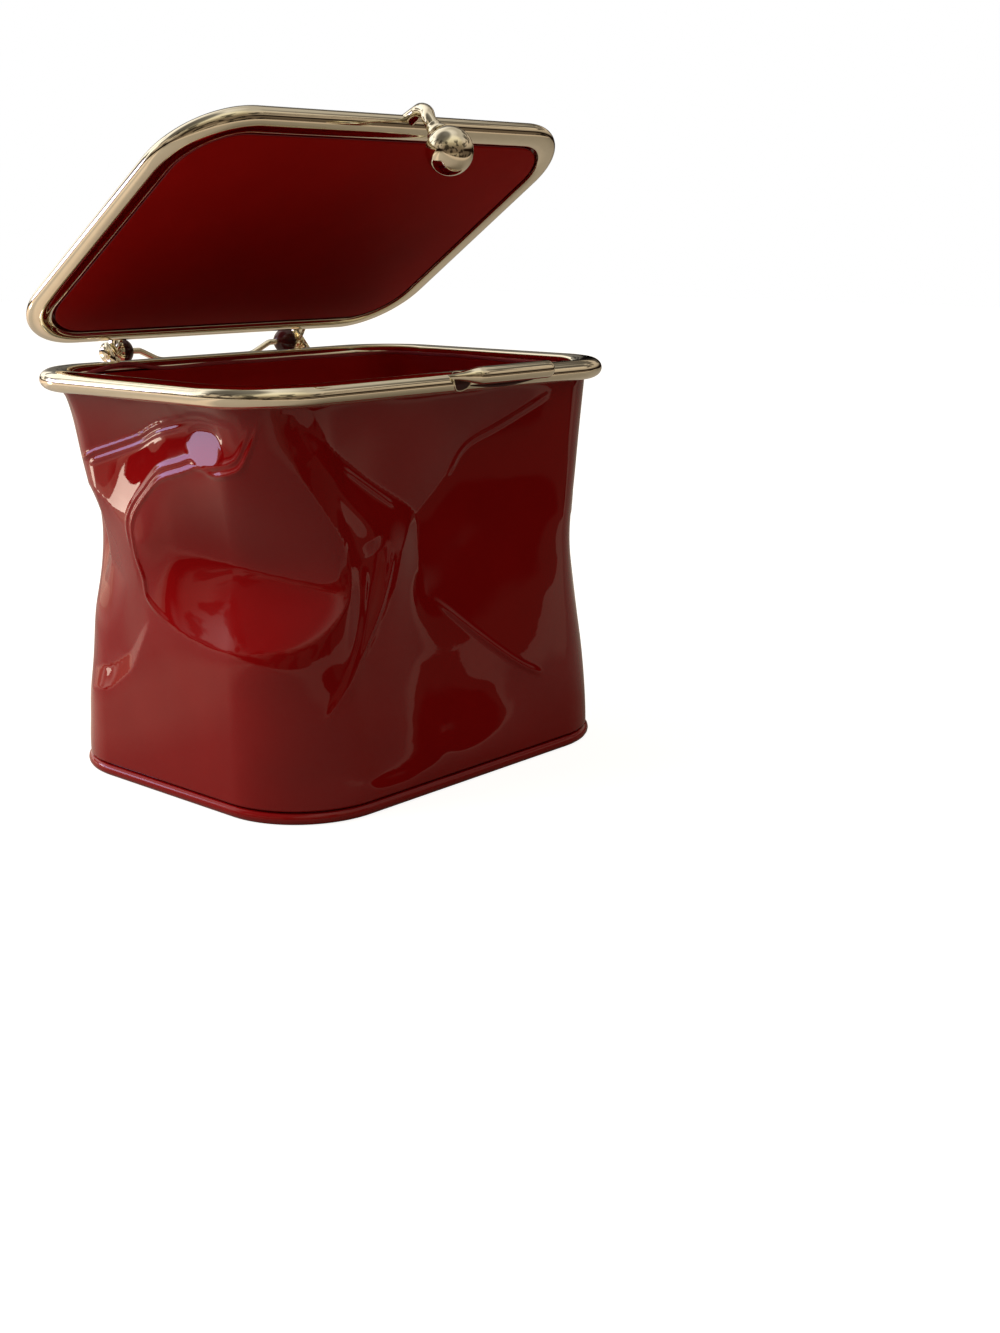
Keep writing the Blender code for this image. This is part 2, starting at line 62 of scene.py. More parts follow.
MM = 0.001
FRAME_WIDTH, FRAME_DEPTH, FRAME_CORNER = 97 * MM, 69 * MM, 15 * MM
BASE_WIDTH, BASE_DEPTH, BASE_CORNER, BASE_FORWARD = 88 * MM, 69.6 * MM, 17 * MM, 1.4 * MM
RIM_HEIGHT = 75 * MM
SEAT_GAP = 0.3 * MM
TUBE_WIDTH, TUBE_HEIGHT = 5.0 * MM, 3.9 * MM
LOWER_TUBE_Z = RIM_HEIGHT - TUBE_HEIGHT / 2
LID_TUBE_Z = RIM_HEIGHT + SEAT_GAP + TUBE_HEIGHT / 2
HINGE = np.array((1.4, 38.7, 76.07)) * MM
LID_OPEN_ANGLE = math.radians(34)
BODY, LID = "purse_body", "lid"
print("heights of the tubes with the lid shut, in mm:", round(LOWER_TUBE_Z / MM, 2), round(LID_TUBE_Z / MM, 2))

# %% [markdown]
# ## Materials
# A material starts from what the real thing is and how its surface was made. Colours are written as sRGB hex,
# as a painter would pick them, and one function turns them to the linear light that the shader works in.
# Another adds a node: its inputs may be plain values, sockets, or other nodes, whose first working output is
# then linked. Patterns are placed by the object's own coordinates, so they keep their real size in metres.

# %% Colour and node helpers
COLOUR = {"data_type": "RGBA"}


def linear(hex_colour):
    """The linear red, green, blue and alpha of an sRGB colour such as 8c1310."""
    channels = [int(hex_colour[i : i + 2], 16) / 255 for i in (0, 2, 4)]
    return tuple(c / 12.92 if c <= 0.04045 else ((c + 0.055) / 1.055) ** 2.4 for c in channels) + (1.0,)


def add_node(tree, kind, settings=None, **inputs):
    """Adds a node with its settings, such as a ramp's stops, and its inputs by name, or by number as _6."""
    node = tree.nodes.new(kind)
    for name, value in (settings or {}).items():
        if name != "stops":
            setattr(node, name, value)
            continue
        stops = node.color_ramp.elements
        while len(stops) < len(value):
            stops.new(0.5)
        for stop, (position, colour) in zip(stops, value):
            stop.position, stop.color = position, colour
    for name, value in inputs.items():
        socket = node.inputs[int(name[1:])] if name[0] == "_" else node.inputs[name.replace("_", " ")]
        if isinstance(value, bpy.types.Node):
            value = next(output for output in value.outputs if output.enabled)
        if isinstance(value, bpy.types.NodeSocket):
            tree.links.new(value, socket)
        else:
            socket.default_value = value
    return node


print("the red 8c1310 in linear light:", [round(channel, 3) for channel in linear("8c1310")[:3]])


def new_material(name):
    """A material with an empty node tree, and the place on the piece in metres for its patterns."""
    material = bpy.data.materials.new(name)
    material.use_nodes = True
    tree = material.node_tree
    tree.nodes.clear()
    return material, tree, add_node(tree, "ShaderNodeTexCoord").outputs["Object"]


def finished(material, shader):
    """Links the shader to the material's output."""
    add_node(material.node_tree, "ShaderNodeOutputMaterial", Surface=shader)
    print("made", material.name)
    return material

# %% [markdown]
# ### Nickel plate
# The frame is drawn steel, polished and plated with nickel, which is a little warmer than chrome. It is a
# mirror, so nearly all that the eye sees in it is the room. The plating follows the slight waves of the
# rolled metal, 9 mm apart, which makes reflected lines waver. Handling leaves faint streaks of about 2.5 mm
# that blur them here and there.

# %% Nickel plate
def make_nickel():
    material, tree, place = new_material("polished_nickel_plate")
    wave = add_node(tree, "ShaderNodeTexNoise", Vector=place, Scale=1 / (9 * MM), Detail=1.0)
    streak = add_node(tree, "ShaderNodeTexNoise", Vector=place, Scale=1 / (2.5 * MM), Detail=4.0,
                      Roughness=0.6)
    dull = add_node(tree, "ShaderNodeMapRange", Value=streak, From_Min=0.45, From_Max=0.75, To_Min=0.035,
                    To_Max=0.13)
    tint = add_node(tree, "ShaderNodeMix", COLOUR, Factor=streak, _6=linear("f6efda"), _7=linear("eae2ca"))
    bump = add_node(tree, "ShaderNodeBump", Strength=0.5, Distance=0.05 * MM, Height=wave)
    shader = add_node(tree, "ShaderNodeBsdfPrincipled", Base_Color=tint, Metallic=1.0, Roughness=dull,
                      Normal=bump)
    return finished(material, shader)


NICKEL = make_nickel()

# %% [markdown]
# ### Patent leather
# Patent leather is dyed hide under a flowed coat of clear lacquer. The colour lies below: deep, nearly pure
# red. The lacquer gives mirror reflections, pale over the dark red, with the faint orange peel of a sprayed
# finish and small ripples where the leather beneath has been bent. So the red is a matt base without a gloss
# of its own, and the gloss is the shader's coat. A soft lacquer bends light less than glass: its index is
# 1.38. The same lacquer over a much darker ground caps the rivet heads, as a painted reflection of the red
# round them.

# %% Patent leather and enamel
def make_lacquered(name, dark, light):
    material, tree, place = new_material(name)
    mottle = add_node(tree, "ShaderNodeTexNoise", Vector=place, Scale=1 / (14 * MM), Detail=3.0)
    colour = add_node(tree, "ShaderNodeMix", COLOUR, Factor=mottle, _6=linear(dark), _7=linear(light))
    peel = add_node(tree, "ShaderNodeTexNoise", Vector=place, Scale=1 / (0.9 * MM), Detail=1.0)
    ripple = add_node(tree, "ShaderNodeTexNoise", Vector=place, Scale=1 / (7 * MM), Detail=1.0)
    fine = add_node(tree, "ShaderNodeBump", Strength=0.06, Distance=0.02 * MM, Height=peel)
    both = add_node(tree, "ShaderNodeBump", Strength=0.3, Distance=0.12 * MM, Height=ripple, Normal=fine)
    shader = add_node(tree, "ShaderNodeBsdfPrincipled", Base_Color=colour, Roughness=0.45,
                      Specular_IOR_Level=0.0, Normal=both, Coat_Weight=1.0, Coat_Roughness=0.025,
                      Coat_IOR=1.38, Coat_Normal=both)
    return finished(material, shader)


PATENT = make_lacquered("lacquered_patent_leather", "7e0a0c", "900d0f")
# A dark red lacquer for the rivet heads: a painted reflection of the red round them.
RIVET_RED_REFLECTION = make_lacquered("rivet_painted_red_reflection", "2a0407", "3c060a")

# %% [markdown]
# ### Leather in painted shade
# Beside the catch rod one looks through a slot into the channel. The leather there is in deep shade, and the
# shade is painted into its colour: a dark mottled red with little shine, dull like a raw turned edge.

# %% Leather in the slot
def make_shaded_leather():
    material, tree, place = new_material("leather_in_painted_shade")
    mottle = add_node(tree, "ShaderNodeTexNoise", Vector=place, Scale=1 / (0.6 * MM), Detail=3.0)
    # The dark red is painted shade, for the slot and for the gap under the rod.
    colour = add_node(tree, "ShaderNodeMix", COLOUR, Factor=mottle, _6=linear("2c0509"), _7=linear("48080c"))
    shader = add_node(tree, "ShaderNodeBsdfPrincipled", Base_Color=colour, Roughness=0.35,
                      Specular_IOR_Level=0.25)
    return finished(material, shader)


SHADE = make_shaded_leather()

# %% [markdown]
# ### Satin
# The lining is a dense rayon satin with a slight nap, almost like velvet: very dark where one looks straight
# at it, and rosier where the nap lies aslant to the eye. The sheen of the shader gives that, and a cloudy
# noise gives the brushed patches. The thread is 0.1 mm, too fine to show, so the weave is drawn at 0.35 mm.
# Where the satin is folded over a thread, it is painted paler: a painted highlight of the light that the fold
# catches.

# %% Satin
def make_satin(name, dark, light):
    material, tree, place = new_material(name)
    cloud = add_node(tree, "ShaderNodeTexNoise", Vector=place, Scale=1 / (16 * MM), Detail=4.0,
                     Roughness=0.55)
    thread = add_node(tree, "ShaderNodeTexNoise", Vector=place, Scale=1 / (0.35 * MM), Detail=2.0)
    colour = add_node(tree, "ShaderNodeMix", COLOUR, Factor=cloud, _6=linear(dark), _7=linear(light))
    bump = add_node(tree, "ShaderNodeBump", Strength=0.35, Distance=0.05 * MM, Height=thread)
    shader = add_node(tree, "ShaderNodeBsdfPrincipled", Base_Color=colour, Roughness=0.6,
                      Specular_IOR_Level=0.05, Normal=bump, Sheen_Weight=0.12, Sheen_Roughness=0.4,
                      Sheen_Tint=linear("b0201c"))
    return finished(material, shader)


SATIN = make_satin("napped_rayon_satin", "a6100d", "c21914")
# The paler satin of the folded edges is a painted highlight of the light that the folds catch.
FOLD = make_satin("satin_edge_painted_highlight", "9c3038", "c0606a")

# %% [markdown]
# ### Card and paper cord
# Grey card stiffens the bottom and the lid, and a twisted paper cord packs the leather into the metal
# channel. Both are hidden when the purse is whole, but they are there in every view that looks into a gap.
# Pressed pulp is dull and fibrous. These four CAD solids keep their shape and only take the material.

# %% Card and paper
def make_pulp(name, dark, light, grain):
    material, tree, place = new_material(name)
    fibre = add_node(tree, "ShaderNodeTexNoise", Vector=place, Scale=1 / grain, Detail=5.0, Roughness=0.7)
    colour = add_node(tree, "ShaderNodeMix", COLOUR, Factor=fibre, _6=linear(dark), _7=linear(light))
    bump = add_node(tree, "ShaderNodeBump", Strength=0.4, Distance=0.05 * MM, Height=fibre)
    shader = add_node(tree, "ShaderNodeBsdfPrincipled", Base_Color=colour, Roughness=0.9, Normal=bump)
    return finished(material, shader)


CARD = make_pulp("grey_pulp_card", "8b857c", "a49d92", 0.8 * MM)
PAPER = make_pulp("twisted_paper_cord", "b5a284", "cdbc9e", 0.5 * MM)
for name, material in (("base_board", CARD), ("lid_board", CARD), ("frame_cord", PAPER), ("lid_cord", PAPER)):
    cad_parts[name].data.materials.clear()
    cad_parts[name].data.materials.append(material)

# %% [markdown]
# ## The outline of the mouth and of the foot
# Both are rounded rectangles. Going once round the purse, the centre of the corner circle and the angle on it
# change in straight runs, so three interpolations give the whole outline, and the outward direction with it.
# A run is a distance in millimetres round from the near left corner: it grows along the front and goes below
# 0 along the left side, and the same runs serve every outline, so that all of them fit together.

# %% Rounded outlines
FRONT_RUN, SIDE_RUN, CORNER_RUN = 60.5, 37.3, 22.46
RUNS = np.cumsum([0, CORNER_RUN / 2, FRONT_RUN, CORNER_RUN, SIDE_RUN, CORNER_RUN, FRONT_RUN, CORNER_RUN,
                  SIDE_RUN, CORNER_RUN / 2])
ROUND = RUNS[-1]
QUARTERS = np.array([1.25, 1.5, 1.5, 2, 2, 2.5, 2.5, 3, 3, 3.25]) * math.pi
SIDES_X = np.array([-1, -1, 1, 1, 1, 1, -1, -1, -1, -1])
SIDES_Y = np.array([-1, -1, -1, -1, 1, 1, 1, 1, -1, -1])
SHARPEST_CORNER = 1.5 * MM


def outline(width, depth, corner, runs, forward=0.0):
    """Points of a rounded rectangle at some runs, and the outward directions there."""
    runs = np.mod(runs, ROUND)
    angle = np.interp(runs, RUNS, QUARTERS)
    outward = np.stack([np.cos(angle), np.sin(angle)], axis=-1)
    x = np.interp(runs, RUNS, SIDES_X * (width / 2 - corner))
    y = np.interp(runs, RUNS, SIDES_Y * (depth / 2 - corner)) - forward
    return np.stack([x, y], axis=-1) + corner * outward, outward


def frame_outline(inset, runs):
    corner = max(FRAME_CORNER - inset, SHARPEST_CORNER)
    return outline(FRAME_WIDTH - 2 * inset, FRAME_DEPTH - 2 * inset, corner, runs)


def base_outline(inset, runs):
    return outline(BASE_WIDTH - 2 * inset, BASE_DEPTH - 2 * inset, BASE_CORNER - inset, runs, BASE_FORWARD)


def even_runs(per_corner, per_front, per_side):
    """Runs with a chosen number of steps in each corner and along each straight."""
    counts = [per_corner // 2, per_front, per_corner, per_side, per_corner, per_front, per_corner, per_side,
              per_corner // 2]
    return np.concatenate([np.linspace(a, b, n, endpoint=False) for a, b, n in zip(RUNS, RUNS[1:], counts)])


print("once round the purse:", round(ROUND, 1), "mm")

# %% [markdown]
# ## Meshes and pieces
# Each mesh below is a grid of points: rows that follow one direction and columns that follow the other. One
# function turns such a grid into a mesh. Another makes the mesh a piece with its material, lets it ride on a
# body, and hides the CAD nodes it stands for. The lid's pieces are easier to draw shut, so a third function
# opens them.

# %% Grids, pieces and the open lid
def grid_faces(rows, columns, rows_close=False, columns_close=True):
    """Corner indices of the quads of a grid of points, whose rows or columns may close on themselves."""
    index = np.arange(rows * columns).reshape(rows, columns)
    if rows_close:
        index = np.concatenate([index, index[:1]])
    if columns_close:
        index = np.concatenate([index, index[:, :1]], axis=1)
    low, high = index[:-1], index[1:]
    return np.stack([low[:, :-1], low[:, 1:], high[:, 1:], high[:, :-1]], axis=-1).reshape(-1, 4).tolist()


def mesh_of(points, faces):
    mesh = bpy.data.meshes.new("mesh")
    mesh.from_pydata(np.asarray(points, float).reshape(-1, 3).tolist(), [], faces)
    mesh.update()
    mesh.shade_smooth()
    return mesh


def grid_mesh(grid, rows_close=False, columns_close=True, caps=()):
    """A mesh through a grid of points. Caps are rows, by number, that one face closes."""
    grid = np.asarray(grid, float)
    rows, columns = grid.shape[:2]
    faces = grid_faces(rows, columns, rows_close, columns_close)
    for row in caps:
        ring = [row % rows * columns + column for column in range(columns)]
        faces.append(ring[::-1] if row == 0 else ring)
    return mesh_of(grid, faces)


def add_piece(name, mesh, body, material, *stands_for):
    """Puts a mesh in the scene as a piece that rides on a body and stands for some CAD nodes."""
    mesh.name = name
    mesh.materials.append(material)
    piece = bpy.data.objects.new(name, mesh)
    bpy.context.scene.collection.objects.link(piece)
    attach(piece, body)
    if stands_for:
        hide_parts(*stands_for)
    print(name, len(mesh.polygons), "faces")
    return piece


def opened(points, angle=LID_OPEN_ANGLE):
    """Turns points that were drawn with the lid shut about the hinge line, to where the lid stands open."""
    points = np.array(points, float)
    y, z = points[..., 1] - HINGE[1], points[..., 2] - HINGE[2]
    cosine, sine = math.cos(angle), math.sin(angle)
    points[..., 1] = HINGE[1] + y * cosine + z * sine
    points[..., 2] = HINGE[2] - y * sine + z * cosine
    return points


def opened_mesh(mesh):
    mesh.vertices.foreach_set("co", opened([v.co for v in mesh.vertices]).ravel())
    return mesh


def at_height(flat, z):
    """Points of the plane, put at one height, or each at its own."""
    return np.column_stack([flat, np.broadcast_to(z, len(flat))])


def oval(half_width, half_height, turns):
    return np.stack([half_width * np.cos(turns), half_height * np.sin(turns)], axis=-1)

# %% [markdown]
# ## The two frames
# A kiss-lock frame is a strip of metal folded into a channel that grips the leather. Its rounded back is what
# shows. A section drawn once, with its rolled edges, is carried round the mouth. Across the channel's opening,
# which the leather fills, the section is simply closed. Corners get short steps, because a mirror shows every
# facet, while a straight run needs only a few.

# %% Folded channel
def channel_section(first, last, metal=0.5 * MM, steps=40):
    """The folded strip seen end on, +X inward to the purse and +Y up, from one angle to another."""
    turns = np.radians(np.linspace(first, last, steps))
    outside = oval(TUBE_WIDTH / 2, TUBE_HEIGHT / 2, turns)
    inside = oval(TUBE_WIDTH / 2 - metal, TUBE_HEIGHT / 2 - metal, turns)

    def rolled_edge(near, far):
        middle, arm = (near + far) / 2, (near - far) / 2
        side = np.array([-arm[1], arm[0]])
        return [middle + arm * math.cos(t) + side * math.sin(t) for t in np.radians([36, 72, 108, 144])]

    return np.concatenate([outside, rolled_edge(outside[-1], inside[-1]), rolled_edge(inside[0], outside[0])])


def sweep_mouth(section, height, runs):
    """Carries a section round the middle of the tube, in rows along the mouth, one column per point."""
    middle, outward = frame_outline(TUBE_WIDTH / 2, runs)
    flat = middle[:, None, :] - outward[:, None, :] * section[None, :, :1]
    up = np.broadcast_to(height + section[None, :, 1:], flat.shape[:2] + (1,))
    return np.concatenate([flat, up], axis=-1)


FRAME_RUNS = even_runs(36, 24, 16)
lower = sweep_mouth(channel_section(15, 281), LOWER_TUBE_Z, FRAME_RUNS)
add_piece("lower_frame_channel", grid_mesh(lower, rows_close=True), BODY, NICKEL, "lower_frame")
upper = opened(sweep_mouth(channel_section(50, 310), LID_TUBE_Z, FRAME_RUNS))
add_piece("lid_frame_channel", grid_mesh(upper, rows_close=True), LID, NICKEL, "lid_frame")

# %% [markdown]
# ## The crumpled wall
# A patent wall that has been squashed keeps its folds: flat, tight faces that meet in creases, with a deep
# diamond where a corner has buckled inward. Such a surface bends in one direction at a time and hardly
# stretches. A cloth simulation drops and swings a sheet, but it doesn't find the folds of one given purse.
# So the wall is treated as a stiff sheet: the creases are drawn as lines where it may fold, a few points say
# how deep it has been pushed, and the sheet relaxes to the smoothest shape through them.
#
# Each point is (run round the purse, height, depth), in millimetres. A crease also has a softness: 0.01 folds
# sharply, 0.3 rolls. Below them come the valley across the buckled corner, the pinched edges that stand a
# little proud and catch the light, and one small flat that tips up towards the window.

# %% Creases and hollows
CREASES = (
    # The ridge round the upper left of the buckled corner, and its lower edge.
    (0.02, ((-0.2, 70.6, 0.1), (-1.6, 67.0, 0.6), (-3.6, 63.4, 0.9), (-6.0, 60.3, 1.1), (-12.0, 59.3, 1.3),
            (-15.7, 60.5, 1.4), (-20.5, 59.1, 1.4), (-26.4, 57.3, 1.4), (-30.6, 54.7, 1.4), (-34.4, 51.4, 1.3),
            (-36.1, 48.7, 1.2), (-36.0, 46.1, 1.2), (-35.5, 43.0, 1.3), (-34.0, 39.2, 1.4), (-33.5, 35.4, 1.4))),
    (0.04, ((-33.5, 35.4, 1.4), (-30.0, 33.2, 1.3), (-26.0, 31.8, 1.15))),
    (0.12, ((-26.0, 31.8, 1.15), (-20.0, 30.4, 1.0), (-12.0, 29.8, 0.9), (-5.0, 30.0, 0.9), (0.0, 30.6, 0.9),
            (4.0, 31.8, 1.0), (7.9, 33.9, 1.1))),
    # The ridge on its right.
    (0.04, ((2.2, 71.0, 0.1), (3.7, 65.8, 0.5), (5.9, 59.7, 0.9), (9.9, 53.4, 1.2))),
    (0.02, ((9.9, 53.4, 1.2), (14.0, 47.3, 1.5), (14.7, 42.2, 1.5), (13.1, 38.1, 1.4), (7.9, 33.9, 1.1))),
    (0.1, ((7.9, 33.9, 1.1), (3.9, 28.5, 0.7), (1.9, 20.5, 0.3))),
    # The fold under the rim of the left side.
    (0.02, ((-51.1, 59.7, 3.5), (-43.4, 62.2, 3.7), (-35.5, 64.5, 3.6), (-27.7, 67.0, 3.1), (-17.5, 69.2, 2.5),
            (-12.0, 69.0, 2.2), (-6.8, 68.4, 1.6))),
    # The star in the front: valleys that run to one deep point.
    (0.02, ((6.5, 68.5, 0.8), (15.5, 63.0, 1.9), (22.7, 57.8, 2.9), (32.4, 52.1, 4.2), (35.5, 50.0, 4.8))),
    (0.02, ((35.5, 50.0, 4.8), (35.2, 44.5, 4.7), (34.5, 39.5, 4.2), (35.1, 35.5, 3.4))),
    (0.02, ((35.1, 35.5, 3.4), (37.8, 33.1, 3.0), (46.0, 26.5, 1.8), (56.1, 19.5, 0.7), (65.3, 15.2, 0.2))),
    (0.02, ((35.5, 50.0, 4.8), (43.5, 56.7, 4.1), (47.3, 61.6, 3.4), (55.0, 64.8, 2.1), (63.5, 67.6, 0.8))),
    # The pinched folds between the star and the corner.
    (0.02, ((32.3, 48.3, 3.6), (28.7, 44.5, 2.2), (25.4, 38.6, 1.5), (17.0, 28.5, 1.0), (9.5, 22.3, 0.6),
            (5.2, 15.4, 0.3))),
    (0.04, ((23.5, 46.4, 2.9), (21.4, 41.0, 2.4), (16.1, 33.7, 1.8), (8.9, 26.2, 1.0))),
    # The soft arc at the foot of the front.
    (0.12, ((2.9, 12.5, 0.3), (5.1, 8.9, 0.5), (11.4, 6.2, 0.6), (21.2, 6.0, 0.6), (30.8, 8.0, 0.6),
            (35.8, 11.1, 0.7))),
    # The lip at the left, under the rear corner's buckle, and the two edges of the steep strip above it.
    (0.02, ((-33.7, 31.0, 1.2), (-36.5, 26.5, 1.0), (-39.5, 21.8, 0.9), (-46.5, 17.0, 0.8), (-55.0, 15.5, 0.7))),
    (0.02, ((-33.9, 32.2, 1.4), (-38.6, 27.7, 2.0), (-41.2, 24.5, 2.3), (-47.5, 21.0, 2.3), (-56.0, 19.5, 2.2))),
    (0.03, ((-57.0, 43.8, 7.4), (-48.0, 40.0, 4.9), (-40.0, 37.0, 2.4), (-33.5, 35.4, 1.4))),
    (0.03, ((-57.0, 54.6, 3.6), (-50.0, 53.6, 3.2), (-44.0, 51.2, 2.6), (-39.5, 47.5, 1.8), (-37.3, 42.5, 1.5),
            (-36.0, 38.5, 1.35))),
    # The right side, the back and the far corners.
    (0.05, ((82.0, 41.0, 3.5), (84.0, 52.0, 2.0), (88.0, 66.0, 0.6))),
    (0.05, ((82.0, 41.0, 3.5), (80.0, 30.0, 2.3), (84.0, 16.0, 0.6))),
    (0.03, ((116.0, 44.0, 5.4), (108.0, 54.0, 2.8), (100.0, 67.0, 0.6))),
    (0.03, ((116.0, 44.0, 5.4), (125.0, 57.0, 2.2), (131.0, 68.0, 0.4))),
    (0.03, ((116.0, 44.0, 5.4), (110.0, 30.0, 2.6), (102.0, 14.0, 0.7))),
    (0.05, ((116.0, 44.0, 5.4), (128.0, 33.0, 2.0), (138.0, 17.0, 0.5))),
    (0.03, ((178.0, 42.0, 5.6), (166.0, 55.0, 2.6), (158.0, 68.0, 0.5))),
    (0.03, ((178.0, 42.0, 5.6), (190.0, 56.0, 2.8), (201.0, 68.5, 0.5))),
    (0.04, ((178.0, 42.0, 5.6), (171.0, 27.0, 2.9), (160.0, 13.0, 0.6))),
    (0.04, ((178.0, 42.0, 5.6), (192.0, 29.0, 2.7), (205.0, 14.0, 0.6))),
    (0.06, ((146.0, 60.0, 0.8), (148.0, 45.0, 1.6), (144.0, 28.0, 0.7))),
)
HOLLOWS = (
    # The left side: under the rim, along the fold, and down the rear corner.
    (-44.8, 67.0, 1.9), (-33.7, 68.5, 1.4), (-23.0, 70.5, 0.5),
    (-41.6, 56.5, 3.1), (-33.2, 59.7, 2.6), (-24.8, 62.3, 2.3), (-14.5, 64.0, 2.1), (-8.0, 64.3, 1.5),
    (-57.0, 69.0, 1.6), (-57.0, 60.0, 2.7), (-57.0, 48.0, 6.6), (-57.0, 38.0, 5.8), (-57.0, 31.0, 3.3),
    (-57.0, 25.0, 2.6), (-57.0, 9.0, 0.5),
    # The front: right of the star, above it and below it.
    (60.1, 53.8, 2.5), (45.6, 42.2, 2.9), (65.9, 32.5, 0.9), (55.0, 28.7, 1.3), (70.0, 45.0, 1.3),
    (52.0, 48.0, 3.0),
    (22.5, 67.2, 1.2), (34.9, 62.9, 2.0), (35.6, 56.3, 3.4), (47.1, 66.9, 1.2),
    (40.7, 24.1, 2.4), (30.9, 24.5, 2.6), (23.6, 16.1, 1.4), (43.9, 15.5, 1.7), (53.8, 12.4, 0.7),
    (36.0, 12.0, 1.5),
    # The foot of the left side and of the near corner.
    (-31.3, 12.1, 0.2), (-39.6, 14.3, 0.5), (-13.3, 15.6, 0.3), (-2.8, 13.9, 0.2), (-20.0, 22.0, 0.6),
    (-8.0, 22.0, 0.6), (-28.0, 24.0, 0.7),
    # The right side and the back.
    (100.0, 45.0, 0.4), (135.0, 50.0, 0.4), (117.0, 22.0, 2.2), (116.0, 62.0, 2.4),
    (156.0, 42.0, 0.3), (200.0, 42.0, 0.6), (181.0, 62.0, 2.4), (181.0, 18.0, 1.8), (214.0, 40.0, 1.2),
    (210.0, 25.0, 0.4),
)
# The valley across the buckled corner, which has folded flat: (run, height).
VALLEY = ((-34.8, 46.0), (-29.0, 46.2), (-20.0, 44.8), (-10.0, 43.2), (-3.0, 41.6), (5.0, 40.0), (11.0, 39.0),
          (13.8, 38.6))
RIDGE = ((-0.6, 70.0), (-1.8, 67.0), (-3.8, 63.6), (-6.2, 60.8), (-12.0, 59.6), (-15.9, 60.7), (-20.7, 59.4),
         (-26.6, 57.6), (-30.8, 54.9), (-34.6, 51.6), (-36.2, 48.7), (-36.1, 46.1), (-35.6, 43.0),
         (-34.1, 39.2), (-33.5, 36.0), (-30.2, 33.6), (-26.2, 32.0))
RIM_FOLD = ((-57.0, 58.1), (-51.1, 59.3), (-43.4, 61.5), (-35.5, 63.8), (-27.7, 66.3), (-17.5, 68.8),
            (-12.0, 68.6), (-6.8, 68.0))
# Pinched edges: how proud they stand, their half width, and their line of (run, height).
PINCHES = (
    (0.34, 0.42, RIDGE),
    (0.26, 0.45, [(run - 0.8, z + 1.5) if run > -30 else (run - 1.8, z + 0.6) for run, z in RIDGE[1:13]]),
    (0.34, 0.45, [(run, z + 0.3) for run, z in RIM_FOLD]),
    (0.22, 0.45, [(run, z - 1.2) for run, z in RIM_FOLD[1:6]]),
    (0.30, 0.45, ((43.0, 55.6), (47.2, 61.0), (55.0, 64.2), (66.0, 69.0))),
    (0.22, 0.45, ((16.5, 60.5), (24.0, 55.5), (29.5, 51.8))),
    (0.25, 0.50, ((13.5, 27.0), (19.5, 33.2), (24.0, 39.5), (27.0, 45.0))),
    (0.50, 2.30, ((7.5, 66.5), (12.0, 60.5), (17.0, 54.5), (21.5, 49.5), (23.0, 45.0))),
    (0.40, 1.00, ((26.0, 46.5), (21.5, 37.0), (14.5, 28.5), (7.5, 19.5))),
    (0.30, 0.80, ((19.5, 43.0), (17.0, 34.5), (11.0, 26.0), (5.0, 17.0))),
    (0.25, 0.50, ((36.5, 34.3), (46.0, 26.7), (56.1, 19.7), (64.0, 15.8))),
    # The stars of the right side and the back.
    (0.45, 0.90, ((115.0, 45.5), (107.5, 54.5), (99.5, 67.0))),
    (0.45, 0.90, ((117.5, 45.0), (125.5, 56.5), (131.5, 68.0))),
    (0.40, 0.90, ((115.0, 42.0), (109.0, 30.0), (101.5, 14.0))),
    (0.40, 1.10, ((117.5, 42.5), (128.5, 32.0), (138.5, 17.0))),
    (0.35, 0.90, ((83.0, 42.0), (86.5, 52.0), (91.0, 65.0))),
    (0.45, 0.90, ((176.5, 43.5), (165.5, 55.5), (157.5, 68.0))),
    (0.45, 0.90, ((179.5, 43.5), (190.5, 56.5), (201.5, 68.5))),
    (0.40, 1.00, ((176.5, 40.5), (170.0, 27.0), (159.5, 13.0))),
    (0.40, 1.00, ((179.5, 40.5), (192.5, 28.5), (205.5, 14.0))),
)
# A small flat among the folds: (run, height, half width, half height, slope).
FLATS = ((-14.3, 63.9, 4.4, 3.3, 0.12),)
print(len(CREASES), "creases,", len(HOLLOWS), "pressed points,", len(PINCHES), "pinched edges")

# %% [markdown]
# Before it is pushed in, the wall is a ruled surface: straight lines from the foot's outline to the mouth's.
# Depths are measured inward from it, square to the wall, but straight across the buckled corner. There the
# sheet has folded so far that it runs nearly straight from one edge of the diamond to the other.

# %% The wall before it is pushed in
WALL_BOTTOM, WALL_TOP = 2.5, 73.0
MOUTH_INSET = 3.4 * MM
BUCKLE_DIRECTION = np.array([0.78, 0.62])
DIAMOND_LEFT, DIAMOND_RIGHT = -35.8, 14.7


def smooth_step(value, low, high):
    t = np.clip((value - low) / (high - low), 0, 1)
    return t * t * (3 - 2 * t)


def signed(runs):
    """Runs between half a round before the near left corner and half a round after it."""
    return (runs + ROUND / 2) % ROUND - ROUND / 2


def ruled_wall(runs, heights):
    """Points of the plane for a grid of heights and runs on the wall."""
    foot, mouth = base_outline(0.0, runs)[0], frame_outline(MOUTH_INSET, runs)[0]
    share = ((heights - WALL_BOTTOM) / (WALL_TOP - WALL_BOTTOM))[:, None, None]
    return foot[None] * (1 - share) + mouth[None] * share


def push_directions(runs):
    near = signed(runs)
    share = (smooth_step(near, -37.0, -24.0) * smooth_step(near, 19.0, 10.0))[:, None]
    push = (1 - share) * base_outline(0.0, runs)[1] - share * BUCKLE_DIRECTION
    return push / np.linalg.norm(push, axis=1)[:, None]


def straight_across(run, height):
    """The depth at which the buckled corner is a straight line from one of its edges to the other."""
    start, end, here = ruled_wall(np.array([DIAMOND_LEFT, DIAMOND_RIGHT, run]), np.array([height]))[0]
    across = np.array([start[1] - end[1], end[0] - start[0]])
    push = push_directions(np.array([run]))[0]
    return max(0.0, float((here - start) @ across / (push @ across)) / MM)


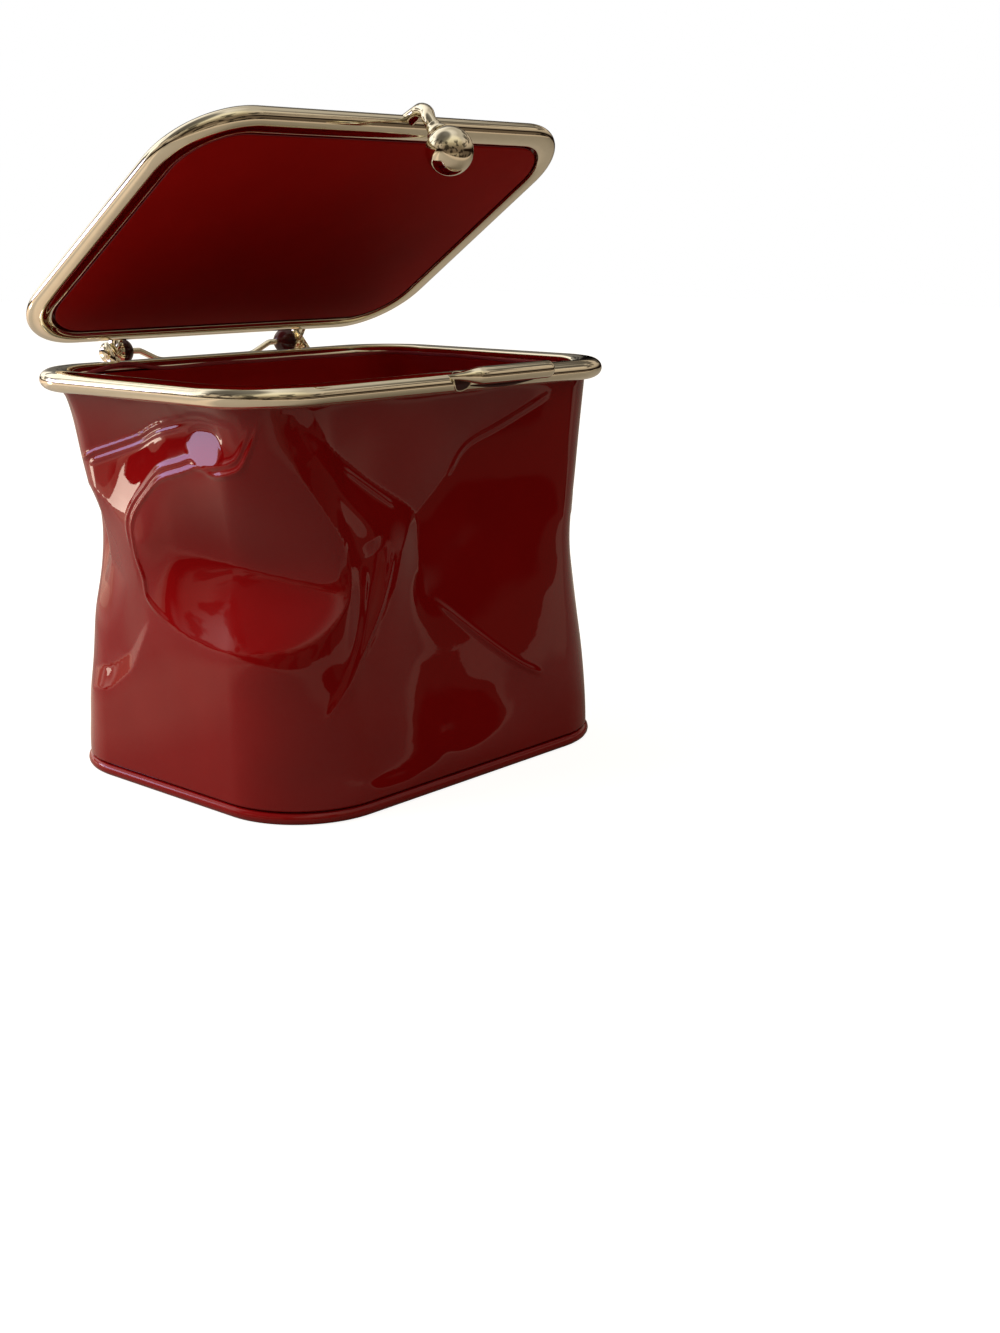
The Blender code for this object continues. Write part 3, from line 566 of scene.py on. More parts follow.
def line_gap(line, runs, heights):
    """How far each point of a grid is from a line, and where on the line its nearest point is, 0 to 1."""
    best, where = np.full((len(heights), len(runs)), 1e9), np.zeros((len(heights), len(runs)))
    for number, (start, end) in enumerate(zip(line, line[1:])):
        along, up = signed(runs[None, :] - start[0]), heights[:, None] - start[1]
        go, rise = end[0] - start[0], end[1] - start[1]
        share = np.clip((along * go + up * rise) / (go**2 + rise**2), 0, 1)
        gap = np.hypot(along - share * go, up - share * rise)
        nearer = gap < best
        best = np.where(nearer, gap, best)
        where = np.where(nearer, (number + share) / (len(line) - 1), where)
    return best, where


print("the middle of the diamond is pushed in by up to", round(straight_across(-10.0, 43.2), 1), "mm")

# %% [markdown]
# The relaxing is a least-squares problem on a grid of depths: bending costs, less on a crease, a light
# tension keeps flat faces flat, and each pressed point pulls like a spring. These functions give the
# stiffness of the sheet, the pins that hold it, and the push of the bent sheet at each point of its grid.

# %% Stiffness, pins and bending
CREASE_REACH = 0.75
HOLLOW_PULL, LINE_PULL = 1.5, 0.8
VALLEY_SOFTNESS, VALLEY_SHARE = 0.3, 0.86
TENSION = 0.012


def stiffness(runs, heights):
    """How stiff the sheet is at each point of a grid: 1 away from creases, and their softness on them."""
    stiff = np.ones((len(heights), len(runs)))
    for softness, line in CREASES + ((VALLEY_SOFTNESS, VALLEY),):
        gap, _ = line_gap(line, runs, heights)
        stiff = np.minimum(stiff, 1 - (1 - softness) * np.exp(-((gap / CREASE_REACH) ** 2)))
    stiff[heights > 70.0] = 0.05
    return stiff


def pins():
    """The pressed points, the valley's and the creases', with how hard each holds the sheet."""
    held = [(run, z, depth, HOLLOW_PULL) for run, z, depth in HOLLOWS]
    for run in np.arange(-34.0, 14.0, 1.2):
        z = np.interp(run, *np.array(VALLEY).T)
        held.append((run, z, VALLEY_SHARE * straight_across(run, z), LINE_PULL))
    for _, line in CREASES:
        for start, end in zip(np.array(line), np.array(line)[1:]):
            steps = max(2, round(math.dist(start[:2], end[:2]) / 1.5))
            held += [(*(start + share * (end - start)), LINE_PULL) for share in np.arange(steps) / steps]
    return np.array(held)


def bending_push(depth, stiff, dx, dz):
    """The push of the bent sheet: from its bends along and up, its twist, and its tension."""
    xx = (np.roll(depth, -1, 1) - 2 * depth + np.roll(depth, 1, 1)) / dx**2 * stiff
    out = (np.roll(xx, -1, 1) - 2 * xx + np.roll(xx, 1, 1)) / dx**2
    zz = np.zeros_like(depth)
    zz[1:-1] = (depth[2:] - 2 * depth[1:-1] + depth[:-2]) / dz**2 * stiff[1:-1]
    out[1:-1] -= 2 * zz[1:-1] / dz**2
    out[2:] += zz[1:-1] / dz**2
    out[:-2] += zz[1:-1] / dz**2
    ahead = np.roll(depth, -1, 1)
    twist = np.zeros_like(depth)
    twist[:-1] = (ahead[1:] - ahead[:-1] - depth[1:] + depth[:-1]) / (dx * dz)
    twist[:-1] *= 2 * np.minimum(stiff[1:], stiff[:-1])
    back = np.roll(twist, 1, 1) - twist
    out[1:] += back[:-1] / (dx * dz)
    out[:-1] -= back[:-1] / (dx * dz)
    slope = (ahead - depth) / dx
    out += TENSION * (np.roll(slope, 1, 1) - slope) / dx
    rise = (depth[1:] - depth[:-1]) / dz
    out[1:] += TENSION * rise / dz
    out[:-1] -= TENSION * rise / dz
    return out * (dx * dz)


print(len(pins()), "pins hold the sheet")

# %% [markdown]
# Conjugate gradients solve the problem: step by step they move the depths to where all pushes balance. They
# start on a coarse grid, then go to finer ones that start from the last answer, which takes a few seconds
# with plain numpy. A simulation would need the same balance, found in many more steps.

# %% Relax the sheet
def grid_places(step):
    """Runs and heights of a grid over the wall, about a step apart."""
    columns, rows = round(ROUND / step), round((WALL_TOP - WALL_BOTTOM) / step) + 1
    return np.arange(columns) * ROUND / columns, np.linspace(WALL_BOTTOM, WALL_TOP, rows)


def pin_corners(held, runs, heights):
    """The four grid points round each pin, as rows and columns, with their shares in it."""
    column = np.mod(held[:, 0], ROUND) / ROUND * len(runs)
    row = (held[:, 1] - WALL_BOTTOM) / (heights[1] - heights[0])
    left, low = np.floor(column).astype(int), np.clip(np.floor(row).astype(int), 0, len(heights) - 2)
    fx, fz = column - left, row - low
    left, right = left % len(runs), (left + 1) % len(runs)
    return [(low, left, (1 - fx) * (1 - fz)), (low, right, fx * (1 - fz)), (low + 1, left, (1 - fx) * fz),
            (low + 1, right, fx * fz)]


def refined(start, rows, columns):
    """A coarse answer read off on a finer grid, in straight lines between its points."""
    z = np.linspace(0, start.shape[0] - 1, rows)
    x = np.arange(columns) * start.shape[1] / columns
    z0, x0 = np.minimum(z.astype(int), start.shape[0] - 2), x.astype(int)
    fz, fx = (z - z0)[:, None], (x - x0)[None, :]
    wide = np.concatenate([start, start[:, :1]], axis=1)
    low, high = (wide[row][:, x0] * (1 - fx) + wide[row][:, x0 + 1] * fx for row in (z0, z0 + 1))
    return low * (1 - fz) + high * fz


def relax(step, start, rounds):
    """Depths on a grid of that step in millimetres, from a coarser answer."""
    runs, heights = grid_places(step)
    dx, dz = ROUND / len(runs), heights[1] - heights[0]
    stiff, held = stiffness(runs, heights), pins()
    free = ((heights > 3.2) & (heights < 71.0))[:, None] * np.ones(len(runs))
    corners = pin_corners(held, runs, heights)

    def at_pins(depth):
        return sum(depth[row, column] * share for row, column, share in corners)

    def from_pins(values):
        out = np.zeros((len(heights), len(runs)))
        for row, column, share in corners:
            np.add.at(out, (row, column), values * share)
        return out

    def push(depth):
        return (bending_push(depth, stiff, dx, dz) + from_pins(at_pins(depth) * held[:, 3])) * free

    depth = refined(start, len(heights), len(runs)) * free
    left_over = from_pins(held[:, 2] * held[:, 3]) * free - push(depth)
    way, size = left_over.copy(), (left_over**2).sum()
    for _ in range(rounds):
        moved = push(way)
        share = size / (way * moved).sum()
        depth += share * way
        left_over -= share * moved
        before, size = size, (left_over**2).sum()
        if size < 1e-10:
            break
        way = left_over + size / before * way
    off = np.abs(at_pins(depth) - held[:, 2]).mean()
    print(f"relaxed at {step} mm: {depth.shape}, deepest {depth.max():.2f} mm, off the pins {off:.3f} mm")
    return depth


dents = np.zeros((2, 2))
for step, rounds in ((2.8, 900), (1.4, 900), (0.7, 1500)):
    dents = relax(step, dents, rounds)

# %% [markdown]
# The relaxed depths are read off on a finer grid with a cubic, so that the lacquer mirrors smooth curves, and
# the pinched edges are raised there. The same cubic draws a smooth line through a few chosen points, for the
# pinched edges here and for the metal rods later.

# %% Smooth lines and finer depths
def cubic_shares(t):
    """Shares of four neighbours in a place t between the middle two (Catmull-Rom)."""
    return np.stack([-t + 2 * t**2 - t**3, 2 - 5 * t**2 + 3 * t**3, t + 4 * t**2 - 3 * t**3,
                     -(t**2) + t**3]) / 2


def smooth_route(points, steps):
    """Points along a smooth curve through a few chosen ones."""
    points = [np.asarray(p, float) for p in points]
    ends = [2 * points[0] - points[1]] + points + [2 * points[-1] - points[-2]]
    shares = [cubic_shares(t) for t in np.arange(steps) / steps]
    route = [share @ np.array(four) for four in zip(ends, ends[1:], ends[2:], ends[3:]) for share in shares]
    return np.array(route + [points[-1]])


def finer(depth, runs, heights):
    """Depths read off at the given runs and heights."""
    rows, columns = depth.shape
    x = np.mod(runs, ROUND) / ROUND * columns
    z = (heights - WALL_BOTTOM) / (WALL_TOP - WALL_BOTTOM) * (rows - 1)
    x0, z0 = np.floor(x).astype(int), np.clip(np.floor(z).astype(int), 0, rows - 2)
    across = sum(depth[:, (x0 + k - 1) % columns] * share for k, share in enumerate(cubic_shares(x - x0)))
    up = cubic_shares(z - z0)
    return sum(across[np.clip(z0 + k - 1, 0, rows - 1)] * up[k][:, None] for k in range(4))


def with_pinches(depth, runs, heights):
    """Depths with the pinched edges raised, and with the small flat laid through the middle of its place."""
    for height, width, line in PINCHES:
        gap, where = line_gap(smooth_route(line, 6), runs, heights)
        fade = np.clip(np.minimum(where, 1 - where) * 8, 0, 1)
        depth = depth - height * fade * np.exp(-((gap / width) ** 2))
    for run, z, wide, high, slope in FLATS:
        along, up = signed(runs - run)[None, :], (heights - z)[:, None]
        reach = (np.abs(along / wide) ** 2.6 + np.abs(up / high) ** 2.6) ** (1 / 2.6)
        points = np.stack(np.broadcast_arrays(1.0, along, up), axis=-1)
        plane = points @ np.linalg.lstsq(points[reach < 1], depth[reach < 1], rcond=None)[0]
        depth = depth + (plane + slope * up - depth) * (1 - smooth_step(reach, 0.85, 1.2))
    return np.maximum(depth, -0.2)

# %% [markdown]
# The leather is 0.8 mm thick: a skin goes up the outside, over the top inside the channel, and down the
# inside. The outside is finest where the folds are, and its runs are further apart round the back. The strip
# was cut flat, and is stretched over the box.

# %% Leather wall
LEATHER = 0.8 * MM


def wall_points(depth, inset, runs, heights):
    """Points of the wall for a grid of depths in millimetres, further in by an inset."""
    flat = ruled_wall(runs, heights) - push_directions(runs)[None] * (depth[..., None] * MM + inset)
    return np.concatenate([flat, np.broadcast_to(heights[:, None, None] * MM, depth.shape + (1,))], axis=-1)


near_runs, far_runs = np.arange(-60.0, 72.0, 0.28), np.linspace(72.0, ROUND - 60.0, 320)[:-1]
wall_runs = np.concatenate([near_runs, far_runs])
outer_heights = np.linspace(WALL_BOTTOM, WALL_TOP, 250)
inner_heights = np.linspace(WALL_TOP, WALL_BOTTOM, 51)
outer = with_pinches(finer(dents, wall_runs, outer_heights), wall_runs, outer_heights)
inner = finer(dents, wall_runs, inner_heights)
skin = np.concatenate([wall_points(outer, 0.0, wall_runs, outer_heights),
                       wall_points(inner, LEATHER, wall_runs, inner_heights)])
piece = add_piece("patent_wall", grid_mesh(skin, rows_close=True), BODY, PATENT, "body_wall")

# %% [markdown]
# ## The lining
# Inside hangs a bag of satin, glued to the leather. It follows the same folds, only softer, because the cloth
# bridges the sharpest ones, so the depths are blurred a little. At the mouth it is drawn over the inner lip
# of the metal and glued to the tube as high as its middle, so that no bare metal shows below.

# %% Satin bag
SATIN_TOP_ON_WALL = 67.5
# The collar on the tube: how far in from the frame's outline, and how high, in millimetres.
COLLAR = ((5.15, 69.2), (5.13, 70.6), (5.06, 71.7), (4.99, 72.5), (4.95, 73.1))


def blurred(depth, times):
    for _ in range(times):
        depth = (np.roll(depth, 1, 1) + 2 * depth + np.roll(depth, -1, 1)) / 4
        depth[1:-1] = (depth[:-2] + 2 * depth[1:-1] + depth[2:]) / 4
    return depth


soft_dents = blurred(dents, 14)[::2, ::2]
soft_runs = np.arange(soft_dents.shape[1]) * ROUND / soft_dents.shape[1]
soft_heights = np.linspace(WALL_BOTTOM, WALL_TOP, len(soft_dents))
on_wall = soft_heights <= SATIN_TOP_ON_WALL


def bag_skin(inset, extra):
    """Rows up the wall, further in by an inset, and then round the tube, further in by an extra."""
    rows = list(wall_points(soft_dents[on_wall], inset, soft_runs, soft_heights[on_wall]))
    rows += [at_height(frame_outline((reach + extra) * MM, soft_runs)[0], z * MM) for reach, z in COLLAR]
    return np.array(rows)


bag_outside, bag_inside = bag_skin(1.75 * MM, 0.12), bag_skin(2.15 * MM, 0.50)
bag = grid_mesh(np.concatenate([bag_outside, bag_inside[::-1]]), rows_close=True)
piece = add_piece("satin_bag", bag, BODY, SATIN, "body_lining")

# %% [markdown]
# The edge of the satin is folded to the back at the mouth. It shows as a thin roll, painted pale as a highlight,
# which wavers a little and has come away at the left end of the back. Rolls like this are also the welt at the
# foot and the folded edge in the lid, so one function carries a round section along any closed path.

# %% Folded edge of the satin
LOOSE_RUN = 208.0


def swept_roll(path, radius, sides=10, flat=1.0):
    """A closed roll round a closed path, its height scaled by flat."""
    path = np.asarray(path, float)
    ahead = np.roll(path, -1, 0) - np.roll(path, 1, 0)
    ahead /= np.linalg.norm(ahead, axis=1)[:, None]
    side = np.cross(ahead, (0, 0, 1.0))
    side /= np.linalg.norm(side, axis=1)[:, None]
    over = np.cross(side, ahead)
    turns = np.arange(sides) * 2 * math.pi / sides
    rings = [path + radius * (math.cos(t) * side + flat * math.sin(t) * over) for t in turns]
    return grid_mesh(np.stack(rings, axis=1), rows_close=True)


edge = (bag_outside[-1] + bag_inside[-1]) / 2
waver = 0.125 * np.sin(soft_runs / 9.0) + 0.075 * np.sin(soft_runs / 3.7 + 1.0)
lift = 1.5 * np.exp(-(((soft_runs - LOOSE_RUN) / 5.5) ** 2))
edge[:, 2] += (0.1 + waver + lift) * MM
edge[:, :2] -= frame_outline(0.0, soft_runs)[1] * (0.35 * lift * MM)[:, None]
# The roll's paler satin is a painted highlight.
add_piece("satin_fold", swept_roll(edge, 0.34 * MM, flat=1.2), BODY, FOLD)

# %% [markdown]
# ## The bottom
# A flat leather panel closes the bottom. It is sewn to the wall with a welt between them: a strip of the same
# patent leather folded round a string, which shows as a dark red bead with a thin line of light on it.
# Inside lie a card and a satin floor.

# %% Welt, panel and floor
WELT_RADIUS, WELT_PROUD = 1.1 * MM, 0.5 * MM
CARD_TOP, SATIN_THICK = 2.9 * MM, 0.4 * MM


def plate(flat_outline, bottom, thickness, edge_round=0.15 * MM, crown=0.0):
    """A sheet cut to an outline, with slightly rounded edges, as rings from its under side to its top."""
    centre = flat_outline.mean(axis=0)
    away = flat_outline - centre
    reach = np.hypot(*away.T).max()
    top = bottom + thickness
    rings = [at_height(centre + away * (1 - inset / reach), z) for inset, z in (
        (reach * 0.5, bottom), (edge_round * 3, bottom), (0, bottom + edge_round), (0, top - edge_round),
        (edge_round * 3, top), (reach * 0.25, top + crown * 0.7), (reach * 0.5, top + crown))]
    return grid_mesh(rings, caps=(0, -1))


welt_runs = even_runs(28, 60, 40)
welt = swept_roll(at_height(base_outline(WELT_RADIUS - WELT_PROUD, welt_runs)[0], WELT_RADIUS),
                  WELT_RADIUS * 0.995, sides=16)
add_piece("patent_welt", welt, BODY, PATENT, "base_welt")
panel = plate(base_outline(2 * WELT_RADIUS - WELT_PROUD + 0.1 * MM, welt_runs)[0], 0.0, LEATHER)
add_piece("patent_bottom", panel, BODY, PATENT, "base_panel")
floor = plate(base_outline(2.2 * MM, welt_runs)[0], CARD_TOP, SATIN_THICK, crown=0.3 * MM)
piece = add_piece("satin_floor", floor, BODY, SATIN, "base_lining")

# %% [markdown]
# ## The catch rod
# The clasp is round nickel-plated rod. Its lower half swoops out of the tube and runs along the front. A rod
# follows a smooth curve through a few chosen points, with its thickness given at each, and its end sinks into
# the tube as a brazed one does. It starts thin where it comes out, and swells to its full 3.2 mm.

# %% Catch rod
CATCH_Y, CATCH_Z, CATCH_RADIUS = -36.70 * MM, 74.40 * MM, 1.6 * MM
CATCH_LEFT, CATCH_RIGHT = -4.2 * MM, 21.0 * MM


def rod_mesh(route, radii, sides=28):
    """A round rod along a route, its ends closed. The frame is carried along without twisting."""
    route = np.asarray(route, float)
    ahead = np.gradient(route, axis=0)
    ahead /= np.linalg.norm(ahead, axis=1)[:, None]
    side = np.cross(ahead[0], (0.0, 0.0, 1.0) if abs(ahead[0][2]) < 0.9 else (1.0, 0.0, 0.0))
    turns = np.arange(sides) * 2 * math.pi / sides
    rings = []
    for point, direction, radius in zip(route, ahead, radii):
        side = side - direction * (side @ direction)
        side /= np.linalg.norm(side)
        over = np.cross(direction, side)
        rings.append(point + radius * (np.cos(turns)[:, None] * side + np.sin(turns)[:, None] * over))
    return grid_mesh(rings, caps=(0, -1))


swoop = [(CATCH_LEFT + along * MM, CATCH_Y + inward * MM, CATCH_Z - down * MM)
         for along, inward, down in ((0.6, 3.5, 0.3), (2.0, 2.0, 0.1), (4.6, 0.45, 0.0), (8.0, 0.0, 0.05))]
swoop.append((CATCH_RIGHT - CATCH_RADIUS, CATCH_Y, CATCH_Z))
route = smooth_route(swoop, 10)
radii = [CATCH_RADIUS * (0.36 + 0.64 * smooth_step((x - CATCH_LEFT) / MM, 0.8, 6.0)) for x in route[:, 0]]
round_end = np.radians(np.linspace(0, 86, 9)[1:])
dome = [route[-1] + np.array((CATCH_RADIUS * math.sin(t), 0.0, 0.0)) for t in round_end]
radii += [CATCH_RADIUS * math.cos(t) for t in round_end]
add_piece("catch_rod", rod_mesh(list(route) + dome, radii), BODY, NICKEL, "catch_bar")

# %% [markdown]
# The rod leaves the channel through a slot whose edge is rolled, and under the rod a thin dark line of painted
# shadow lies where the rod rests against the tube. Both are drawn on the front of the tube. The slot is an oval
# dish of dark leather in painted shade, because that is what one sees through it, with a thin rolled rim.

# %% Slot and painted shadow line
def on_front_tube(x, degrees, proud):
    """A point on the front of the lower tube, at an angle up from its foremost line, and so far proud."""
    turn = math.radians(degrees)
    return (x, -FRAME_DEPTH / 2 + TUBE_WIDTH / 2 - (TUBE_WIDTH / 2 + proud) * math.cos(turn),
            LOWER_TUBE_Z + (TUBE_HEIGHT / 2 + proud) * math.sin(turn))


def slot_ring(share, proud):
    """A ring round the slot, at a share of its size."""
    return [on_front_tube((-0.9 + share * 2.2 * math.cos(t)) * MM, 14 + share * 60 * math.sin(t), proud)
            for t in np.radians(np.arange(0, 360, 10))]


slot = [slot_ring(share, 0.06 * MM) for share in (0.05, 0.2, 0.35, 0.5, 0.65, 0.8, 0.92)]
dish = ((1.0, 0.03), (1.0, -0.15), (0.5, -0.3), (0.05, -0.3))
slot += [slot_ring(share, proud * MM) for share, proud in dish]
# The dish is dark with painted shade, where the inside of the slot lies in shadow.
add_piece("catch_slot", grid_mesh(slot, caps=(0, -1)), BODY, SHADE)
add_piece("catch_slot_rim", swept_roll(slot_ring(1.0, 0.0), 0.16 * MM, sides=8), BODY, NICKEL)
# A thin dark line of painted shadow under the rod, where it lies against the tube.
shadow_under_rod = [on_front_tube(x * MM, -16 - 10 * math.sin(x / 6), 0.05 * MM) for x in np.linspace(1.0, 18.4, 24)]
thickness = 0.42 * MM * np.sin(np.linspace(0.1, math.pi - 0.1, 24)) + 0.02 * MM
add_piece("catch_shadow_line", rod_mesh(shadow_under_rod, thickness, sides=10), BODY, SHADE)

# %% [markdown]
# ## The arm and the ball
# From the lid rises a hooked arm that ends in a ball, which snaps over the catch rod. The arm is drawn with
# the lid shut, where it reaches down in front of the rod with a little room, and is then opened with the lid.
# A small turned collar joins it to the ball. Turned pieces are profiles spun about an axis.

# %% Arm
BALL = np.mean(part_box("clasp_ball"), axis=0)
BALL_RADIUS = 4.15 * MM
ball = opened(BALL, -LID_OPEN_ANGLE)
print("ball with the lid shut, in mm:", np.round(ball / MM, 2))
lean = np.array((0, math.sin(math.radians(8)), math.cos(math.radians(8))))
hook = [(across * MM, -FRAME_DEPTH / 2 - out * MM, LID_TUBE_Z + up * MM)
        for across, out, up in ((0.4, -1.6, 0.35), (0.3, 1.5, 0.0), (-0.4, 3.5, -0.75), (-1.4, 5.1, -2.5))]
hook += [ball + lean * 6.9 * MM, ball + lean * 4.0 * MM]
route = smooth_route(hook, 8)
radii = 1.2 * MM * (1 + 0.15 * np.clip(1 - np.linspace(0, 1, len(route)) / 0.3, 0, 1) ** 2)
add_piece("clasp_hook", rod_mesh(opened(route), radii), LID, NICKEL, "clasp_arm")

# %% Ball and collar
def turned_mesh(profile, centre, axis, steps=48):
    """A piece turned about an axis from (radius, height) points, its two ends on the axis."""
    axis = np.asarray(axis, float) / np.linalg.norm(axis)
    side = np.cross(axis, (1.0, 0, 0) if abs(axis[0]) < 0.9 else (0, 1.0, 0))
    side /= np.linalg.norm(side)
    over = np.cross(axis, side)
    turns = np.arange(steps) * 2 * math.pi / steps
    rings = [centre + axis * height + radius * (np.cos(turns)[:, None] * side + np.sin(turns)[:, None] * over)
             for radius, height in profile[1:-1]]
    points = np.concatenate(rings + [[centre + axis * profile[0][1]], [centre + axis * profile[-1][1]]])
    faces = grid_faces(len(rings), steps)
    last, first_tip = (len(rings) - 1) * steps, len(rings) * steps
    for step in range(steps):
        after = (step + 1) % steps
        faces += [[first_tip, after, step], [first_tip + 1, last + step, last + after]]
    return mesh_of(points, faces)


open_lean = opened(HINGE + lean) - HINGE
sphere = [(BALL_RADIUS * math.sin(t), BALL_RADIUS * math.cos(t)) for t in np.radians(np.linspace(180, 0, 37))]
add_piece("snap_ball", turned_mesh(sphere, BALL, open_lean), LID, NICKEL, "clasp_ball")
COLLAR_PROFILE = np.array((
    (0, 3.2), (1.2, 3.35), (1.75, 3.72), (1.95, 3.95), (1.98, 4.15), (1.86, 4.4), (1.6, 4.75), (1.42, 5.15),
    (1.36, 5.5), (1.3, 5.8), (1.15, 5.95), (0, 6.0))) * MM
add_piece("ball_collar", turned_mesh(COLLAR_PROFILE, BALL, open_lean), LID, NICKEL, "ball_cup")

# %% [markdown]
# ## The hinge
# Two pairs of small plates are brazed to the backs of the tubes and turn on rivets. The plates are stamped,
# with broken edges: seen from the side, each is a foot on the tube that runs out to a round eye.

# %% Hinge plates
EYE_RADIUS, PLATE_SINK = 1.9 * MM, 0.1 * MM


def lug_outline(tube_height, foot_first, foot_last):
    """A hinge plate seen from the side, in Y and Z, its foot between two angles on the tube's back."""
    tube_middle = np.array((FRAME_DEPTH / 2 - TUBE_WIDTH / 2, tube_height))
    foot = tube_middle + oval(TUBE_WIDTH / 2 - PLATE_SINK, TUBE_HEIGHT / 2 - PLATE_SINK,
                              np.radians(np.linspace(foot_first, foot_last, 15)))
    middle = tube_height + TUBE_HEIGHT / 2 * math.sin(math.radians((foot_first + foot_last) / 2))
    away = math.atan2(HINGE[2] - middle, 4.2 * MM)
    eye = HINGE[1:] + oval(EYE_RADIUS, EYE_RADIUS, away + np.radians(np.linspace(100, -100, 29)))
    return np.concatenate([foot, eye])


def lug_mesh(flat, x, thickness=0.7 * MM, broken=0.1 * MM):
    centre = flat.mean(axis=0)
    away = flat - centre
    rings = []
    for inset, side in ((broken, -1), (0, -1), (0, 1), (broken, 1)):
        pulled = centre + away * (1 - inset / np.hypot(*away.T).mean())
        out = thickness / 2 - (broken if inset == 0 else 0)
        rings.append(np.column_stack([np.full(len(flat), x + side * out), pulled]))
    return grid_mesh(rings, caps=(0, -1))


for hand, side in (("left", -1), ("right", 1)):
    mesh = lug_mesh(lug_outline(LOWER_TUBE_Z, -40, 30), HINGE[0] + side * 24.55 * MM)
    add_piece("lower_lug_" + hand, mesh, BODY, NICKEL, "lower_hinge_lug_" + hand)
    mesh = lug_mesh(lug_outline(LID_TUBE_Z, -35, 35), HINGE[0] + side * 23.55 * MM)
    add_piece("lid_lug_" + hand, opened_mesh(mesh), LID, NICKEL, "lid_hinge_lug_" + hand)

# %% [markdown]
# Each rivet has a domed head that faces the middle of the purse, and is peened over outside the plates. The
# head looks dark red from the front because its nickel mirrors the red round it, so a thin cap of dark red
# lacquer paints that reflection on. A wire bent between the heads keeps the lid from rattling.

# %% Rivets and wire
HEAD_AT, HEAD_RADIUS, CAP_RADIUS = -21.5, 2.6, 2.66
SHANK = ((0.7, -22.9), (0.7, -25.2), (1.3, -25.2), (1.28, -25.38), (1.1, -25.54), (0.7, -25.6), (0, -25.62))


def dome_profile(radius, degrees):
    """Profile points of a rivet's head, in millimetres, at angles from its top."""
    return [(radius * math.sin(t), HEAD_AT + radius * math.cos(t)) for t in np.radians(degrees)]


head_end = 180 - math.degrees(math.acos(1.4 / HEAD_RADIUS))
head = dome_profile(HEAD_RADIUS, np.linspace(0, head_end, 22)) + list(SHANK)
cap = dome_profile(CAP_RADIUS, np.linspace(0, 102, 18)) + dome_profile(2.5, (102, 60, 30, 0))
for hand, side in (("left", -1), ("right", 1)):
    mesh = turned_mesh(np.array(head[::-1]) * MM, HINGE, (-side, 0, 0), steps=36)
    add_piece("domed_rivet_" + hand, mesh, BODY, NICKEL, "hinge_rivet_" + hand)
    # A thin cap of dark red lacquer on each head: a painted reflection of the red round it.
    mesh = turned_mesh(np.array(cap[::-1]) * MM, HINGE, (-side, 0, 0), steps=36)
    add_piece("rivet_painted_reflection_" + hand, mesh, BODY, RIVET_RED_REFLECTION)

half = ((19.6, 0), (17.4, -0.044), (16.4, -0.22), (12.8, -1.804), (11.4, -2.134), (10.0, -2.2))
wire = [HINGE + np.array((x, 0, dip)) * MM for x, dip in half]
wire += [HINGE + np.array((-x, 0, dip)) * MM for x, dip in half[::-1]]
route = smooth_route(wire, 6)
add_piece("spring_wire", rod_mesh(route, [0.6 * MM] * len(route), sides=16), BODY, NICKEL, "lid_spring_wire")

# %% [markdown]
# ## The lid
# The lid is a card covered with patent leather on the outside, turned in round its edge. It is gripped in the
# channel. The leather's section runs from under the channel up over the edge of the card to a slight crown,
# and a second skin lies 0.55 mm inside it. The leather isn't quite flat: it ripples a little along the metal.

# %% Lid cover
LID_RUNS = even_runs(28, 40, 28)
# The section of the lid's top: how far in from the frame's outline, and how high over the lid's tube, in mm.
LID_SECTION = ((5.9, -0.3), (4.2, -0.32), (3.35, -0.25), (3.05, 0.1), (3.1, 0.5), (3.5, 0.85), (4.6, 1.35),
               (6.0, 1.85), (8.0, 2.32), (11.0, 2.62), (16.0, 2.86), (22.0, 2.98), (27.5, 3.02))


def lid_rings(places):
    """Rings round the lid while it is shut, each at an inset and a height in millimetres."""
    return np.array([at_height(frame_outline(inset * MM, LID_RUNS)[0], LID_TUBE_Z + height * MM)
                     for inset, height in places])


outside = smooth_route(LID_SECTION, 3)
slope = np.gradient(outside, axis=0)
slope /= np.linalg.norm(slope, axis=1)[:, None]
inside = outside + 0.55 * np.stack([slope[:, 1], -slope[:, 0]], axis=-1)
inside[-1, 0] = outside[-1, 0]
places = np.concatenate([inside[::-1], outside])
cover = lid_rings(places)
ripple = 0.10 * np.sin(LID_RUNS / 5.1) + 0.07 * np.sin(LID_RUNS / 2.3 + 1.2)
rippled = np.exp(-(((places[:, 0] - 7.0) / 2.2) ** 2)) * (places[:, 1] > 0.8)
cover[:, :, 2] += rippled[:, None] * ripple[None, :] * MM
piece = add_piece("lid_leather", grid_mesh(opened(cover), caps=(0, -1)), LID, PATENT, "lid_cover")

# %% [markdown]
# Inside, the card has satin on a thin pad. From below one sees the satin, the line of its folded edge, painted
# pale as a highlight, and a narrow glossy margin of patent between it and the metal.

# %% Lid lining
PAD_SECTION = ((5.15, -0.92), (4.95, -1.02), (4.88, -1.2), (4.95, -1.38), (5.2, -1.46), (5.7, -1.48),
               (7.0, -1.56), (10.0, -1.68), (16.0, -1.78), (24.0, -1.84), (27.5, -1.85))
BACK_SECTION = ((27.5, -1.0), (24.0, -1.0), (16.0, -0.98), (8.0, -0.95))
mesh = grid_mesh(opened(lid_rings([*BACK_SECTION, *smooth_route(PAD_SECTION, 3)])), caps=(0, -1))
piece = add_piece("lid_satin", mesh, LID, SATIN, "lid_lining")
mesh = swept_roll(lid_rings([(5.02, -1.12)])[0], 0.2 * MM, sides=8)
# The folded edge in the lid is painted paler, as a highlight.
add_piece("lid_satin_edge", opened_mesh(mesh), LID, FOLD)

# %% [markdown]
# ## Camera
# The photograph was taken from close by, in front of the purse and to its left, a little above the rim. The
# camera's place, direction and lens were fitted until the frame, the base and the lid fell where they do
# there. Yaw turns from +Y towards +X, and pitch is downward.

# %% Camera
YAW, PITCH = math.radians(48.536), math.radians(14.473)
CAMERA_PLACE = (-0.22455, -0.2409, 0.10002)


